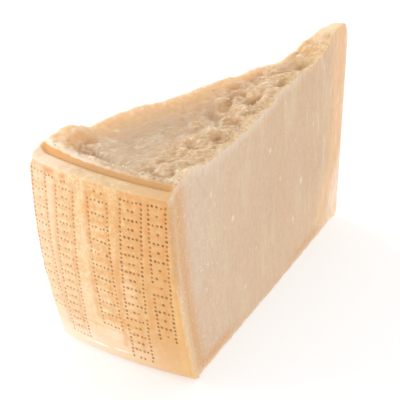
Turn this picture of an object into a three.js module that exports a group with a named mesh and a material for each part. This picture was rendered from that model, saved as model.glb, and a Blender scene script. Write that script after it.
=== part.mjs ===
import * as THREE from "three";
import { mergeGeometries, mergeVertices } from "three/addons/utils/BufferGeometryUtils.js";

// A wedge of hard grating cheese from the lower half of a wheel, 1/32 of the way round it.
// Millimetres, +Z up. The shape is worked out round the wheel's axis, which runs up through
// the wedge's tip, with the rind toward -Y. The part's own origin is under the middle of it.

const degree = Math.PI / 180;

// The wheel: its side bulges like a barrel, and is rounded where it turns under.
const wheelRadius = 210;
const scoreHeight = 100.7;
const baseDrawIn = 17.4;
const baseRounding = { left: 6.9, right: 11 };

// The two cuts that free the wedge. The right one leans outward toward the base.
const halfAngle = 10.66 * degree;
const leftLean = -0.31 * degree;
const rightLean = 1.47 * degree;
const tipHalfWidth = 1.3;
const tipSetBack = 3;
const tipSetAside = -1.1;
const tipToeRounding = 3;

// The ring that a knife scored round the wheel before it was broken open: a lip of rind,
// the knife's kerf, and the rim of the break that stands up behind it.
const lipOuterHeight = 98.8;
const lipInnerHeight = 100.5;
const lipWidth = 5.7;
const lipRounding = 2;
const kerfWidth = 1.5;
const kerfDepth = 0.4;
const kerfFrontSlope = 0.3;
const kerfBackSlope = 0.8;
const rimHeight = 102.5;
const rimWidth = 2.6;
const kerfRunOutLeft = 0.07;
const kerfRunOutRight = 0.03;

// The break: the height of its two long edges, as [distance from the axis, height].
const leftEdge = [
  [0, 102.6], [5, 110.2], [10, 111], [17, 110.8], [30, 107.2], [40, 103], [50, 100.6], [68, 102],
  [77, 101], [86, 102.2], [105, 103], [132, 103.6], [143, 105.4], [162, 105.3], [173, 103.9],
  [188, 105.9], [199, 104.6], [204, 102.6],
];
const rightEdge = [
  [0, 103], [5, 110.6], [10, 112], [16, 111.8], [22, 110.2], [28, 106], [36, 103.6], [55, 102.6],
  [66, 104.3], [76, 103.6], [86, 104.2], [98, 101.3], [124, 100.3], [147, 99.9], [169, 100.9],
  [186, 103.3], [201, 102.6],
];
const peak = { from: 111.5, squeeze: 0.4 };

// The smooth hollow in the break, by how far across it lies (0 left, 1 right) and how far out.
const hollow = { depth: 3.6, across: 0.44, halfAcross: 0.42, from: 108, to: 199, fade: 14 };

// The narrow ridge that is left standing along the left edge.
const ridge = { height: 2.4, width: 5, from: 78, to: 172, fade: 8, acrossFrom: 0.35, acrossTo: 0.9 };

// Single knobs (height above 0) and pockets (below 0) in the break, placed round the axis.
const knobs = [
  { x: -34, y: -188, width: 10, length: 7, height: 2.2 },
  { x: -29, y: -180, width: 6, length: 5, height: 2.6 },
  { x: 34, y: -187, width: 5, length: 6, height: 1.6 },
  { x: 9, y: -107, width: 5, length: 4, height: 2.2 },
  { x: 18, y: -115, width: 4, length: 5, height: 1.8 },
  { x: 13, y: -87, width: 4, length: 5, height: 1.4 },
  { x: -4, y: -104, width: 3.5, length: 4, height: 1.6 },
  { x: 3, y: -82, width: 4, length: 5, height: 1.2 },
  { x: 13, y: -135, width: 6, length: 5, height: 1.2 },
  { x: 21, y: -162, width: 5, length: 7, height: 1 },
  { x: -23, y: -182, width: 4, length: 5, height: -2.4 },
  { x: -13, y: -193, width: 7, length: 3.5, height: -1.6 },
  { x: 21, y: -194, width: 4, length: 2.5, height: -1 },
  { x: 4, y: -53, width: 3.5, length: 9, height: -1.6 },
];

// Crevices between the knobs: both ends, half the width, and the depth on the line between.
const crevices = [
  { from: [8, -96], to: [12, -103], halfWidth: 2.4, depth: 0.8 },
  { from: [0, -94], to: [-3, -98], halfWidth: 2.2, depth: 1 },
  { from: [-4, -101], to: [1, -109], halfWidth: 2.4, depth: 1.2 },
  { from: [-4, -115], to: [4, -118], halfWidth: 2.4, depth: 1.1 },
  { from: [9, -117], to: [14, -122], halfWidth: 2.4, depth: 1.2 },
  { from: [-9, -88], to: [-5, -95], halfWidth: 2.2, depth: 1 },
  { from: [0, -69], to: [7, -57], halfWidth: 1.8, depth: 1 },
  { from: [1, -60], to: [4, -63], halfWidth: 2.2, depth: 1 },
  { from: [-1, -52], to: [1, -47], halfWidth: 2.2, depth: 0.8 },
  { from: [7, -56], to: [6, -44], halfWidth: 2, depth: 0.9 },
  { from: [9, -75], to: [12, -80], halfWidth: 2.2, depth: 1 },
  { from: [3, -135], to: [8, -139], halfWidth: 2.2, depth: 0.9 },
  { from: [17, -138], to: [22, -142], halfWidth: 2.4, depth: 1.2 },
  { from: [11, -152], to: [17, -156], halfWidth: 2.2, depth: 1 },
  { from: [13, -174], to: [17, -180], halfWidth: 2.2, depth: 1 },
  { from: [14, -175], to: [19, -178], halfWidth: 2, depth: 0.7 },
  { from: [-26, -189], to: [-20, -194], halfWidth: 1.8, depth: 0.5 },
  { from: [-25, -188], to: [-24, -180], halfWidth: 2.2, depth: 0.5 },
];

// The bends that keep grains and crevices from looking ruled: how far they swing aside, how
// fast they swing, and how much and how fast the swing itself wavers.
const swayReach = 0.7;
const swayX = { rate: 0.37, waver: 1.7, waverRate: 0.21 };
const swayY = { rate: 0.41, waver: 1.3, waverRate: 0.27 };
const creviceSway = 2;

// The crumbly ground: rounded grains in cells, coarse ones first, with soft creases between.
// It starts behind the tip and right of a line across the break, and is calmer by the cuts.
const grains = [
  { size: 10, height: 2.6, seed: 3 },
  { size: 6, height: 1.5, seed: 11 },
];
const grainSpread = 0.7;
const grainMiddle = 1.2;
const grainSharpness = 7;
const smoothShare = 0.08;
const crumblyFrom = [
  [0, 0.3], [75, 0.1], [90, 0.15], [110, 0.22], [120, 0.29], [130, 0.4], [150, 0.52],
  [190, 0.66], [210, 0.7],
];
const crumblyFade = 0.12;
const crumblyBehind = { from: 42, to: 74 };
const calmByCut = 0.45;
const calmReach = 6;

// How finely the surfaces are divided.
const stepsAcross = 30;
const stepsAlong = 74;
const sideLevels = [0, 0.008, 0.028, 0.0686, 0.2, 0.36, 0.52, 0.68, 0.84, 1];

const mix = THREE.MathUtils.lerp;
const smooth = THREE.MathUtils.smoothstep;

function eased(points, at) {
  const last = points.length - 1;
  if (at >= points[last][0]) {
    return points[last][1];
  }
  const next = Math.max(1, points.findIndex((point) => point[0] > at));
  const [fromAt, fromValue] = points[next - 1];
  const [toAt, toValue] = points[next];
  return mix(fromValue, toValue, smooth(at, fromAt, toAt));
}

function bell(x) {
  return Math.exp(-x * x);
}

function chance(i, j, seed) {
  const wave = Math.sin(i * 127.1 + j * 311.7 + seed * 74.7) * 43758.5453;
  return wave - Math.floor(wave);
}

function sway(along, across, { rate, waver, waverRate }) {
  return swayReach * Math.sin(along * rate + waver * Math.sin(across * waverRate));
}

function swayed(x, y, strength) {
  return [x + strength * sway(y, x, swayX), y + strength * sway(x, y, swayY)];
}

// Highest in the middle of a grain, lowest in the crease between two, and rounded where
// neighbouring grains meet.
function grain(x, y, size, seed) {
  const [bentX, bentY] = swayed(x, y, 1);
  const column = Math.floor(bentX / size);
  const row = Math.floor(bentY / size);
  let total = 0;
  for (let i = column - 1; i <= column + 1; i += 1) {
    for (let j = row - 1; j <= row + 1; j += 1) {
      const awayX = bentX / size - i - chance(i, j, seed);
      const awayY = bentY / size - j - chance(i, j, seed + 1);
      const lump = 1 + grainSpread * chance(i, j, seed + 2) - awayX ** 2 - awayY ** 2;
      total += Math.exp(grainSharpness * lump);
    }
  }
  return Math.log(total) / grainSharpness;
}

function shareAcross(x, y) {
  const angle = Math.atan2(x, -y);
  return THREE.MathUtils.clamp((angle + halfAngle) / (2 * halfAngle), 0, 1);
}

// How crumbly the break is over a place: 0 where it split smoothly, 1 where it crumbled.
function crumbliness(reach, across) {
  const edge = eased(crumblyFrom, reach);
  const behindTip = smooth(reach, crumblyBehind.from, crumblyBehind.to);
  return behindTip * smooth(across, edge - crumblyFade, edge + crumblyFade);
}

function hollowSink(reach, across) {
  const far = smooth(reach, hollow.from - hollow.fade, hollow.from + hollow.fade);
  const near = 1 - smooth(reach, hollow.to - hollow.fade / 2, hollow.to);
  return hollow.depth * far * near * bell((across - hollow.across) / hollow.halfAcross);
}

// What the ground inside the left ridge lies lower than the ridge's crest.
function ridgeSink(reach, across, fromLeft) {
  const along = smooth(reach, ridge.from - ridge.fade, ridge.from + ridge.fade)
    * (1 - smooth(reach, ridge.to - ridge.fade, ridge.to + ridge.fade));
  const inside = (1 - bell(fromLeft / ridge.width))
    * (1 - smooth(across, ridge.acrossFrom, ridge.acrossTo));
  return ridge.height * along * inside;
}

// How far the nearest crevice sinks the ground at a place.
function creviceDepth(x, y) {
  const [bentX, bentY] = swayed(x, y, creviceSway);
  const depths = crevices.map(({ from, to, halfWidth, depth }) => {
    const runX = to[0] - from[0];
    const runY = to[1] - from[1];
    const share = ((bentX - from[0]) * runX + (bentY - from[1]) * runY) / (runX ** 2 + runY ** 2);
    const along = THREE.MathUtils.clamp(share, 0, 1);
    const away = Math.hypot(bentX - from[0] - along * runX, bentY - from[1] - along * runY);
    return depth * bell(away / halfWidth);
  });
  return Math.max(...depths);
}

// Height of the broken surface over a place round the axis.
function breakHeight(x, y) {
  const reach = Math.hypot(x, y);
  const across = shareAcross(x, y);
  const fromLeft = x * Math.cos(halfAngle) - y * Math.sin(halfAngle);
  const fromRight = -x * Math.cos(halfAngle) - y * Math.sin(halfAngle);
  let height = mix(eased(leftEdge, reach), eased(rightEdge, reach), smooth(across, 0, 1));
  height -= hollowSink(reach, across) + ridgeSink(reach, across, fromLeft);
  for (const knob of knobs) {
    height += knob.height * bell(Math.hypot((x - knob.x) / knob.width, (y - knob.y) / knob.length));
  }
  height -= creviceDepth(x, y);
  const calm = mix(calmByCut, 1, smooth(Math.min(fromLeft, fromRight), 0, calmReach));
  const share = mix(smoothShare, 1, crumbliness(reach, across)) * calm;
  for (const { size, height: grainHeight, seed } of grains) {
    height += share * grainHeight * (grain(x, y, size, seed) - grainMiddle);
  }
  return height;
}

function barrelRadius(z) {
  const below = Math.max(0, scoreHeight - z) / scoreHeight;
  return wheelRadius - baseDrawIn * below * below;
}

function rindRadius(z, across) {
  const rounding = mix(baseRounding.left, baseRounding.right, across);
  if (z >= rounding) {
    return barrelRadius(z);
  }
  const under = rounding - z;
  return barrelRadius(rounding) - rounding + Math.sqrt(rounding ** 2 - under ** 2);
}

// A place in the wedge's plan at one height: across from the left cut (0) to the right (1),
// along from the rind (0) to the tip (1).
function planPoint(across, along, z) {
  const lean = Math.max(0, 1 - z / scoreHeight);
  const left = halfAngle + leftLean * lean;
  const right = halfAngle + rightLean * lean;
  const angle = mix(-left, right, across);
  const radius = rindRadius(z, across);
  const toe = Math.max(0, 1 - z / tipToeRounding);
  const toeSetBack = tipToeRounding * (1 - Math.sqrt(1 - toe * toe));
  const turn = Math.PI * (1 - across);
  const tipX = tipSetAside * lean + tipHalfWidth * Math.cos(turn);
  const tipY = -tipSetBack * lean - toeSetBack - tipHalfWidth * (1 - Math.sin(turn));
  return new THREE.Vector2(
    mix(radius * Math.sin(angle), tipX, along),
    mix(-radius * Math.cos(angle), tipY, along),
  );
}

// The rows of the scored ring: how far each lies from the rind, its height where the kerf is
// open, and how high the banks at the left and right end rise over the lip's outer edge.
const kerfBack = lipWidth + kerfWidth;
const kerfFloor = lipInnerHeight - kerfDepth;
const lipMiddle = mix(lipOuterHeight, lipInnerHeight, lipRounding / lipWidth);
const breakStart = kerfBack + kerfBackSlope;
const ringRows = [
  { inward: 0, open: lipOuterHeight, leftRise: 0.6, rightRise: 0 },
  { inward: lipRounding, open: lipMiddle, leftRise: 2, rightRise: 0.7 },
  { inward: lipWidth, open: lipInnerHeight, leftRise: 3.4, rightRise: 2.2 },
  { inward: lipWidth + kerfFrontSlope, open: kerfFloor, leftRise: 3.7, rightRise: 2.4 },
  { inward: kerfBack, open: kerfFloor, leftRise: 4.6, rightRise: 3.1 },
  { inward: breakStart, open: rimHeight, leftRise: 5.2, rightRise: 3.8 },
];
const inwardSteps = ringRows.map((row) => row.inward);
for (let step = 1; step <= stepsAlong; step += 1) {
  inwardSteps.push(mix(breakStart, wheelRadius, step / stepsAlong));
}

function ringHeight(across, { open, leftRise, rightRise }) {
  const fromLeft = smooth(across, 0, kerfRunOutLeft);
  const fromRight = smooth(across, 1 - kerfRunOutRight, 1);
  return mix(mix(lipOuterHeight + leftRise, open, fromLeft), lipOuterHeight + rightRise, fromRight);
}

function topPoint(across, row) {
  const along = inwardSteps[row] / wheelRadius;
  if (row < ringRows.length) {
    const z = ringHeight(across, ringRows[row]);
    const place = planPoint(across, along, z);
    return new THREE.Vector3(place.x, place.y, z);
  }
  const place = planPoint(across, along, scoreHeight);
  const rim = ringHeight(across, ringRows.at(-1));
  const behindRim = smooth(inwardSteps[row], breakStart, breakStart + rimWidth);
  const z = mix(rim, breakHeight(place.x, place.y), behindRim);
  const over = Math.max(0, z - peak.from);
  return new THREE.Vector3(place.x, place.y, z - over * peak.squeeze);
}

// A point of the wall under a point of the top edge, at one of the side levels.
function wallPoint(across, row, level) {
  const top = topPoint(across, row);
  if (level === sideLevels.length - 1) {
    return top;
  }
  const z = top.z * sideLevels[level];
  const place = planPoint(across, inwardSteps[row] / wheelRadius, z);
  return new THREE.Vector3(place.x, place.y, z);
}

function grid(columns, rows, pointAt) {
  const positions = [];
  const indices = [];
  for (let row = 0; row <= rows; row += 1) {
    for (let column = 0; column <= columns; column += 1) {
      positions.push(...pointAt(column, row).toArray());
    }
  }
  for (let row = 0; row < rows; row += 1) {
    for (let column = 0; column < columns; column += 1) {
      const corner = row * (columns + 1) + column;
      const above = corner + columns + 1;
      indices.push(corner, corner + 1, above + 1, corner, above + 1, above);
    }
  }
  const geometry = new THREE.BufferGeometry();
  geometry.setAttribute("position", new THREE.Float32BufferAttribute(positions, 3));
  geometry.setIndex(indices);
  return geometry;
}

// The flat face that the wedge stands on, inside the lowest line of its four walls.
function baseFace() {
  const lastRow = inwardSteps.length - 1;
  const border = [];
  for (let column = 0; column < stepsAcross; column += 1) {
    border.push(wallPoint(column / stepsAcross, 0, 0));
  }
  for (let row = 0; row < lastRow; row += 1) {
    border.push(wallPoint(1, row, 0));
  }
  for (let column = stepsAcross; column > 0; column -= 1) {
    border.push(wallPoint(column / stepsAcross, lastRow, 0));
  }
  for (let row = lastRow; row > 0; row -= 1) {
    border.push(wallPoint(0, row, 0));
  }
  const outline = border.map((point) => new THREE.Vector2(point.x, point.y));
  const faces = THREE.ShapeUtils.triangulateShape(outline, []);
  const geometry = new THREE.BufferGeometry().setFromPoints(border);
  geometry.setIndex(faces.flatMap(([a, b, c]) => [a, c, b]));
  return geometry;
}

function wedgeGeometry() {
  const lastRow = inwardSteps.length - 1;
  const levels = sideLevels.length - 1;
  const top = grid(stepsAcross, lastRow, (column, row) => topPoint(column / stepsAcross, row));
  const rind = grid(stepsAcross, levels, (column, level) => wallPoint(column / stepsAcross, 0, level));
  const tip = grid(
    stepsAcross,
    levels,
    (column, level) => wallPoint(1 - column / stepsAcross, lastRow, level),
  );
  const leftCut = grid(lastRow, levels, (row, level) => wallPoint(0, lastRow - row, level));
  const rightCut = grid(lastRow, levels, (row, level) => wallPoint(1, row, level));
  return mergeVertices(mergeGeometries([top, rind, tip, leftCut, rightCut, baseFace()]));
}

const paste = new THREE.MeshStandardMaterial({ color: "#e2c4a4", roughness: 0.62, metalness: 0 });

const wedge = new THREE.Mesh(wedgeGeometry(), paste);
wedge.name = "cheese_wedge";

// The origin stands under the middle of the wedge's own box.
wedge.geometry.computeBoundingBox();
const middle = wedge.geometry.boundingBox.getCenter(new THREE.Vector3());
wedge.position.set(-middle.x, -middle.y, 0);

const cheese = new THREE.Group();
cheese.add(wedge);

export default cheese;
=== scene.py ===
# %% [markdown]
# # A wedge of hard aged cheese
# This lesson dresses one imported solid, a wedge from one half of a cheese wheel.
# The wedge has a barrel-shaped rind pierced with dots, two smooth cut faces, a ring that a
# knife scored round the wheel, and a crumbly top where the wheel was broken open.
# The solid already has the right size, so every surface here is built on the same sizes.
# The first step loads it. The finished cheese may not outgrow it.

# %% Load the imported wedge
import math

import bmesh
import bpy
import numpy as np
from mathutils import Matrix, Vector
from mathutils.geometry import delaunay_2d_cdt


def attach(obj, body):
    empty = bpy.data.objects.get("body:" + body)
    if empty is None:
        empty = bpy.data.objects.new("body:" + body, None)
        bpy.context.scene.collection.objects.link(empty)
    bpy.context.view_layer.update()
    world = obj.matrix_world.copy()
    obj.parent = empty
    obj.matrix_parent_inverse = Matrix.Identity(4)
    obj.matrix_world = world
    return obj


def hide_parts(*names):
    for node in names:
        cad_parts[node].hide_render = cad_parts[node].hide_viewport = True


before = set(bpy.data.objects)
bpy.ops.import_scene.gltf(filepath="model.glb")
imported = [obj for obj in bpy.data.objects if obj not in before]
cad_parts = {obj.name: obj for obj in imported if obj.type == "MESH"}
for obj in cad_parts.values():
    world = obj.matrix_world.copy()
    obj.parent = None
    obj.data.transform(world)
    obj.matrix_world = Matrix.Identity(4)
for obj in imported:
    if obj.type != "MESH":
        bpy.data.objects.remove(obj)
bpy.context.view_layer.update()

WEDGE = "cheese_wedge"

# %% [markdown]
# ## Sizes of the wheel and the cuts
# A wedge of a wheel is easiest to describe round the wheel's axis, which runs up through the
# wedge's tip. So all shapes are worked out in millimetres in that frame, with the rind toward
# -Y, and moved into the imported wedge's frame only when a mesh is made.

# %% Named sizes, in millimetres and degrees
MM = 0.001
AXIS_PLACE = np.array([-0.985, 104.997, 0.0])

WHEEL_RADIUS = 210.0
SCORE_HEIGHT = 100.7
BASE_DRAW_IN = 17.4
BASE_ROUNDING_LEFT = 6.9
BASE_ROUNDING_RIGHT = 11.0

HALF_ANGLE = math.radians(10.66)
LEFT_LEAN = math.radians(-0.31)
RIGHT_LEAN = math.radians(1.47)
TIP_HALF_WIDTH = 1.3
TIP_SET_BACK = 3.0
TIP_SET_ASIDE = -1.1
TIP_TOE_ROUNDING = 3.0

LIP_OUTER_HEIGHT = 98.8
LIP_INNER_HEIGHT = 100.5
LIP_WIDTH = 5.7
LIP_ROUNDING = 2.0
KERF_WIDTH = 1.5
KERF_DEPTH = 0.4
KERF_FRONT_SLOPE = 0.3
KERF_BACK_SLOPE = 0.8
RIM_HEIGHT = 102.5
RIM_WIDTH = 2.6
KERF_RUN_OUT_LEFT = 0.07
KERF_RUN_OUT_RIGHT = 0.03
RIND_ARC = 78.0
PEAK_FROM = 111.5
PEAK_SQUEEZE = 0.4
print(f"wheel {2 * WHEEL_RADIUS:.0f} mm across, wedge {2 * math.degrees(HALF_ANGLE):.0f} degrees wide")

# %% [markdown]
# ## The break in large
# Hard cheese is wedged apart, not sliced, so its top is torn: two long ragged edges, a smooth
# hollow where it split cleanly, and crumbly ground where grain pulled from grain.
# It could be sculpted by hand, but a height worked out from a few named features can be
# sampled at any fineness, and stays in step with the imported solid, which uses the same ones.

# %% Edges, hollow and ridge of the break
# Distance from the tip and height of the places that each torn edge runs through.
LEFT_EDGE = [
    (0, 102.6), (5, 110.2), (10, 111), (17, 110.8), (30, 107.2), (40, 103), (50, 100.6), (68, 102),
    (77, 101), (86, 102.2), (105, 103), (132, 103.6), (143, 105.4), (162, 105.3), (173, 103.9),
    (188, 105.9), (199, 104.6), (204, 102.6),
]
RIGHT_EDGE = [
    (0, 103), (5, 110.6), (10, 112), (16, 111.8), (22, 110.2), (28, 106), (36, 103.6), (55, 102.6),
    (66, 104.3), (76, 103.6), (86, 104.2), (98, 101.3), (124, 100.3), (147, 99.9), (169, 100.9),
    (186, 103.3), (201, 102.6),
]
HOLLOW_DEPTH = 3.6
HOLLOW_ACROSS = 0.44
HOLLOW_HALF_ACROSS = 0.42
HOLLOW_FROM = 108.0
HOLLOW_TO = 199.0
HOLLOW_FADE = 14.0

RIDGE_HEIGHT = 2.4
RIDGE_WIDTH = 5.0
RIDGE_FROM = 78.0
RIDGE_TO = 172.0
RIDGE_FADE = 8.0
RIDGE_LEVELS_OUT = (0.35, 0.9)
print(f"{len(LEFT_EDGE)} and {len(RIGHT_EDGE)} places lead the two torn edges")

# %% Knobs and crevices of the break
# x, y, width, length and height of each knob; a pocket has a height below 0.
KNOBS = [
    (-34, -188, 10, 7, 2.2), (-29, -180, 6, 5, 2.6), (34, -187, 5, 6, 1.6), (9, -107, 5, 4, 2.2),
    (18, -115, 4, 5, 1.8), (13, -87, 4, 5, 1.4), (-4, -104, 3.5, 4, 1.6), (3, -82, 4, 5, 1.2),
    (13, -135, 6, 5, 1.2), (21, -162, 5, 7, 1.0), (-23, -182, 4, 5, -2.4), (-13, -193, 7, 3.5, -1.6),
    (21, -194, 4, 2.5, -1.0), (4, -53, 3.5, 9, -1.6),
]
# x and y of both ends, half width and depth of each crevice.
CREVICES = [
    (8, -96, 12, -103, 2.4, 0.8), (0, -94, -3, -98, 2.2, 1.0), (-4, -101, 1, -109, 2.4, 1.2),
    (-4, -115, 4, -118, 2.4, 1.1), (9, -117, 14, -122, 2.4, 1.2), (-9, -88, -5, -95, 2.2, 1.0),
    (0, -69, 7, -57, 1.8, 1.0), (1, -60, 4, -63, 2.2, 1.0), (-1, -52, 1, -47, 2.2, 0.8),
    (7, -56, 6, -44, 2.0, 0.9), (9, -75, 12, -80, 2.2, 1.0), (3, -135, 8, -139, 2.2, 0.9),
    (17, -138, 22, -142, 2.4, 1.2), (11, -152, 17, -156, 2.2, 1.0), (13, -174, 17, -180, 2.2, 1.0),
    (14, -175, 19, -178, 2.0, 0.7), (-26, -189, -20, -194, 1.8, 0.5), (-25, -188, -24, -180, 2.2, 0.5),
]
print(f"{len(KNOBS)} knobs and pockets, {len(CREVICES)} crevices")

# %% [markdown]
# ## Grain
# Aged cheese crumbles into rounded grains with soft creases between them. A cell pattern
# gives just that: each cell has a centre thrown by chance, the height falls away from it, and
# neighbouring lumps are blended where they meet. Chance comes from a formula and not from a
# random stream, so a place always gets the same grain, whatever order the points come in.
# Between the lumps run a few deep crevices: the distance to a short line, bent a little.

# %% Smooth steps and bells
def ease(at, start, end):
    share = np.clip((at - start) / (end - start), 0, 1)
    return share * share * (3 - 2 * share)


def mix(low, high, share):
    return low + (high - low) * share


def bell(x):
    return np.exp(-x * x)


def eased_line(points, at):
    places = np.array([p[0] for p in points], float)
    heights = np.array([p[1] for p in points], float)
    after = np.clip(np.searchsorted(places, at, side="right"), 1, len(points) - 1)
    share = ease(at, places[after - 1], places[after])
    return mix(heights[after - 1], heights[after], share)


print(f"a quarter of the way along, an eased step has risen by {ease(0.25, 0, 1):.0%}")

# %% Cell grains
GRAIN_SPREAD = 0.7
GRAIN_MIDDLE = 1.2
GRAIN_SHARPNESS = 7.0
SWAY_REACH = 0.7
# Rate, swing and rate of the swing of each wave that bends the cells.
SWAY_X = (0.37, 1.7, 0.21)
SWAY_Y = (0.41, 1.3, 0.27)


def chance(i, j, seed):
    wave = np.sin(i * 127.1 + j * 311.7 + seed * 74.7) * 43758.5453
    return wave - np.floor(wave)


def swayed(x, y, strength=1.0):
    """Bends straight lines a little, so that neither cells nor crevices look ruled."""
    bends = []
    for first, second, (rate, swing, swing_rate) in ((y, x, SWAY_X), (x, y, SWAY_Y)):
        bends.append(SWAY_REACH * strength * np.sin(first * rate + swing * np.sin(second * swing_rate)))
    return x + bends[0], y + bends[1]


def grain(x, y, size, seed):
    """Rounded lumps about one unit high, with their middle height at 0."""
    warped_x, warped_y = swayed(x, y)
    column, row = np.floor(warped_x / size), np.floor(warped_y / size)
    total = np.zeros(np.shape(x))
    for i in (-1, 0, 1):
        for j in (-1, 0, 1):
            a, b = column + i, row + j
            away_x = warped_x / size - a - chance(a, b, seed)
            away_y = warped_y / size - b - chance(a, b, seed + 1)
            lump = 1 + GRAIN_SPREAD * chance(a, b, seed + 2) - away_x**2 - away_y**2
            total += np.exp(GRAIN_SHARPNESS * lump)
    return np.log(total) / GRAIN_SHARPNESS - GRAIN_MIDDLE


some_grains = grain(*np.mgrid[0:60, 0:60], 6, 3)
print(f"grains of 6 mm stand between {some_grains.min():.1f} and {some_grains.max():.1f} of their height")

# %% Crumbly ground and crevices
# How far across the crumbly ground starts, by distance from the tip.
CRUMBLY_FROM = [
    (0, 0.3), (75, 0.1), (90, 0.15), (110, 0.22), (120, 0.29), (130, 0.4), (150, 0.52), (190, 0.66),
    (210, 0.7),
]
CRUMBLY_FADE = 0.12
SMOOTH_TIP = 42.0
CRUMBLY_BEHIND = 74.0
CREVICE_SWAY = 2.0


def share_across(x, y):
    return np.clip((np.arctan2(x, -y) + HALF_ANGLE) / (2 * HALF_ANGLE), 0, 1)


def from_left(x, y):
    return x * math.cos(HALF_ANGLE) - y * math.sin(HALF_ANGLE)


def from_cuts(x, y):
    return from_left(-np.abs(x), y)


def crumbliness(x, y):
    reach = np.hypot(x, y)
    edge = eased_line(CRUMBLY_FROM, reach)
    behind_tip = ease(reach, SMOOTH_TIP, CRUMBLY_BEHIND)
    return behind_tip * ease(share_across(x, y), edge - CRUMBLY_FADE, edge + CRUMBLY_FADE)


def crevice_depth(x, y, crevices):
    bent_x, bent_y = swayed(x, y, CREVICE_SWAY)
    depth = np.zeros(np.shape(x))
    for x0, y0, x1, y1, half_width, deep in crevices:
        run_x, run_y = x1 - x0, y1 - y0
        along = np.clip(((bent_x - x0) * run_x + (bent_y - y0) * run_y) / (run_x**2 + run_y**2), 0, 1)
        away = np.hypot(bent_x - x0 - along * run_x, bent_y - y0 - along * run_y)
        depth = np.maximum(depth, deep * bell(away / half_width))
    return depth


# %% Height of the broken top
# Size, height and seed of each layer of grains.
GRAINS = [(10, 2.6, 3), (6, 1.5, 11)]
SMOOTH_SHARE = 0.08
CALM_BY_CUT = 0.45
CALM_REACH = 6.0


def break_height(x, y):
    reach, across = np.hypot(x, y), share_across(x, y)
    height = mix(eased_line(LEFT_EDGE, reach), eased_line(RIGHT_EDGE, reach), ease(across, 0, 1))
    far = ease(reach, HOLLOW_FROM - HOLLOW_FADE, HOLLOW_FROM + HOLLOW_FADE)
    near = 1 - ease(reach, HOLLOW_TO - HOLLOW_FADE / 2, HOLLOW_TO)
    height -= HOLLOW_DEPTH * far * near * bell((across - HOLLOW_ACROSS) / HOLLOW_HALF_ACROSS)
    along_ridge = ease(reach, RIDGE_FROM - RIDGE_FADE, RIDGE_FROM + RIDGE_FADE)
    along_ridge *= 1 - ease(reach, RIDGE_TO - RIDGE_FADE, RIDGE_TO + RIDGE_FADE)
    inside = (1 - bell(from_left(x, y) / RIDGE_WIDTH)) * (1 - ease(across, *RIDGE_LEVELS_OUT))
    height -= RIDGE_HEIGHT * along_ridge * inside
    for knob_x, knob_y, width, length, tall in KNOBS:
        height += tall * np.exp(-((x - knob_x) / width) ** 2 - ((y - knob_y) / length) ** 2)
    height -= crevice_depth(x, y, CREVICES)
    share = mix(CALM_BY_CUT, 1, ease(from_cuts(x, y), 0, CALM_REACH))
    share *= mix(SMOOTH_SHARE, 1, crumbliness(x, y))
    for size, tall, seed in GRAINS:
        height += share * tall * grain(x, y, size, seed)
    return height


test_height = break_height(np.array([0.0]), np.array([-150.0]))[0]
print(f"the hollow's floor stands {test_height:.1f} mm high")

# %% [markdown]
# ## Fine relief
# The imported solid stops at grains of 6 mm. Close up the paste breaks down to grains under a
# millimetre, and the clean split of the hollow keeps faint streaks in the direction it tore.
# A few places are lumpier, flakier or cracked. All of this could be left to a bump map, but it
# goes into the mesh, because these forms catch the light and cast shadows of their own.

# %% Lumpy, chalky, cracked and flaky places
# x, y, reach and strength of each place outside the crumbly ground that is lumpy too.
LUMPY_PLACES = [
    (-33, -186, 12, 0.75), (-30, -176, 7, 0.7), (33, -191, 10, 0.6), (-9, -69, 8, 0.4),
    (-8, -126, 13, 0.6), (-4, -142, 9, 0.5), (3, -160, 8, 0.45),
]
LUMPY_EDGE = 0.45
LUMPY_EDGE_WIDTH = 5.0
# x, y, reach and height of single chalky lumps; those without height are only a haze.
CHALKY_PLACES = [
    (5.7, -137, 2.0, 0.6), (-1.5, -41, 1.8, 0.8), (7.9, -82, 2.0, 0.6), (2, -79, 2.4, 0.4),
    (25.5, -191.5, 1.2, 0.6), (33, -193.5, 2.4, 0.6), (30, -187, 2.0, 0.4), (34, -175, 4.0, 0.3),
    (36, -182, 3.2, 0.4), (-8, -199.5, 1.5, 0.8), (-18, -173, 2.4, 0), (-15.5, -181, 3.0, 0),
    (-23, -164, 1.0, 0.3), (-31, -193, 1.6, 0.5), (-5, -120.7, 1.0, 0.3), (-12, -187, 1.6, 0),
]
# Fine cracks by the left end of the scored ring, as both ends, half width and depth.
CRACKS = [
    (-21, -190, -21, -181, 1.0, 0.9), (-21, -181, -17.8, -178, 0.9, 0.7),
    (-16.8, -190.4, -6, -194, 0.9, 0.7), (-21, -190, -16.8, -190.4, 0.9, 0.6),
    (-21.8, -195, -17.3, -198.8, 0.9, 0.5), (-17.5, -196.6, -11.7, -199, 0.8, 0.4),
    (-19, -194, -12, -192.5, 0.8, 0.4),
]
# x, y, reach and strength of each place where the paste came away in flakes.
FLAKY_PLACES = [(-19, -189, 10, 1.0), (-12, -194, 8, 0.8), (27, -190, 8, 0.4)]


def flat_spot(away):
    return 1 - ease(away, 0.6, 1)


def strongest(x, y, spots, shape=bell):
    """The strongest of a few soft spots; each has an x, a y, a reach and a strength."""
    found = np.zeros(np.shape(x))
    for spot_x, spot_y, reach, strength in spots:
        found = np.maximum(found, strength * shape(np.hypot(x - spot_x, y - spot_y) / reach))
    return found


def lumpiness(x, y):
    edge = LUMPY_EDGE * bell(from_left(x, y) / LUMPY_EDGE_WIDTH)
    edge *= ease(np.hypot(x, y), SMOOTH_TIP, CRUMBLY_BEHIND)
    return np.maximum(edge, strongest(x, y, LUMPY_PLACES, flat_spot))


print(f"{len(LUMPY_PLACES)} lumpy and {len(FLAKY_PLACES)} flaky places, {len(CRACKS)} fine cracks")

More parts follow.
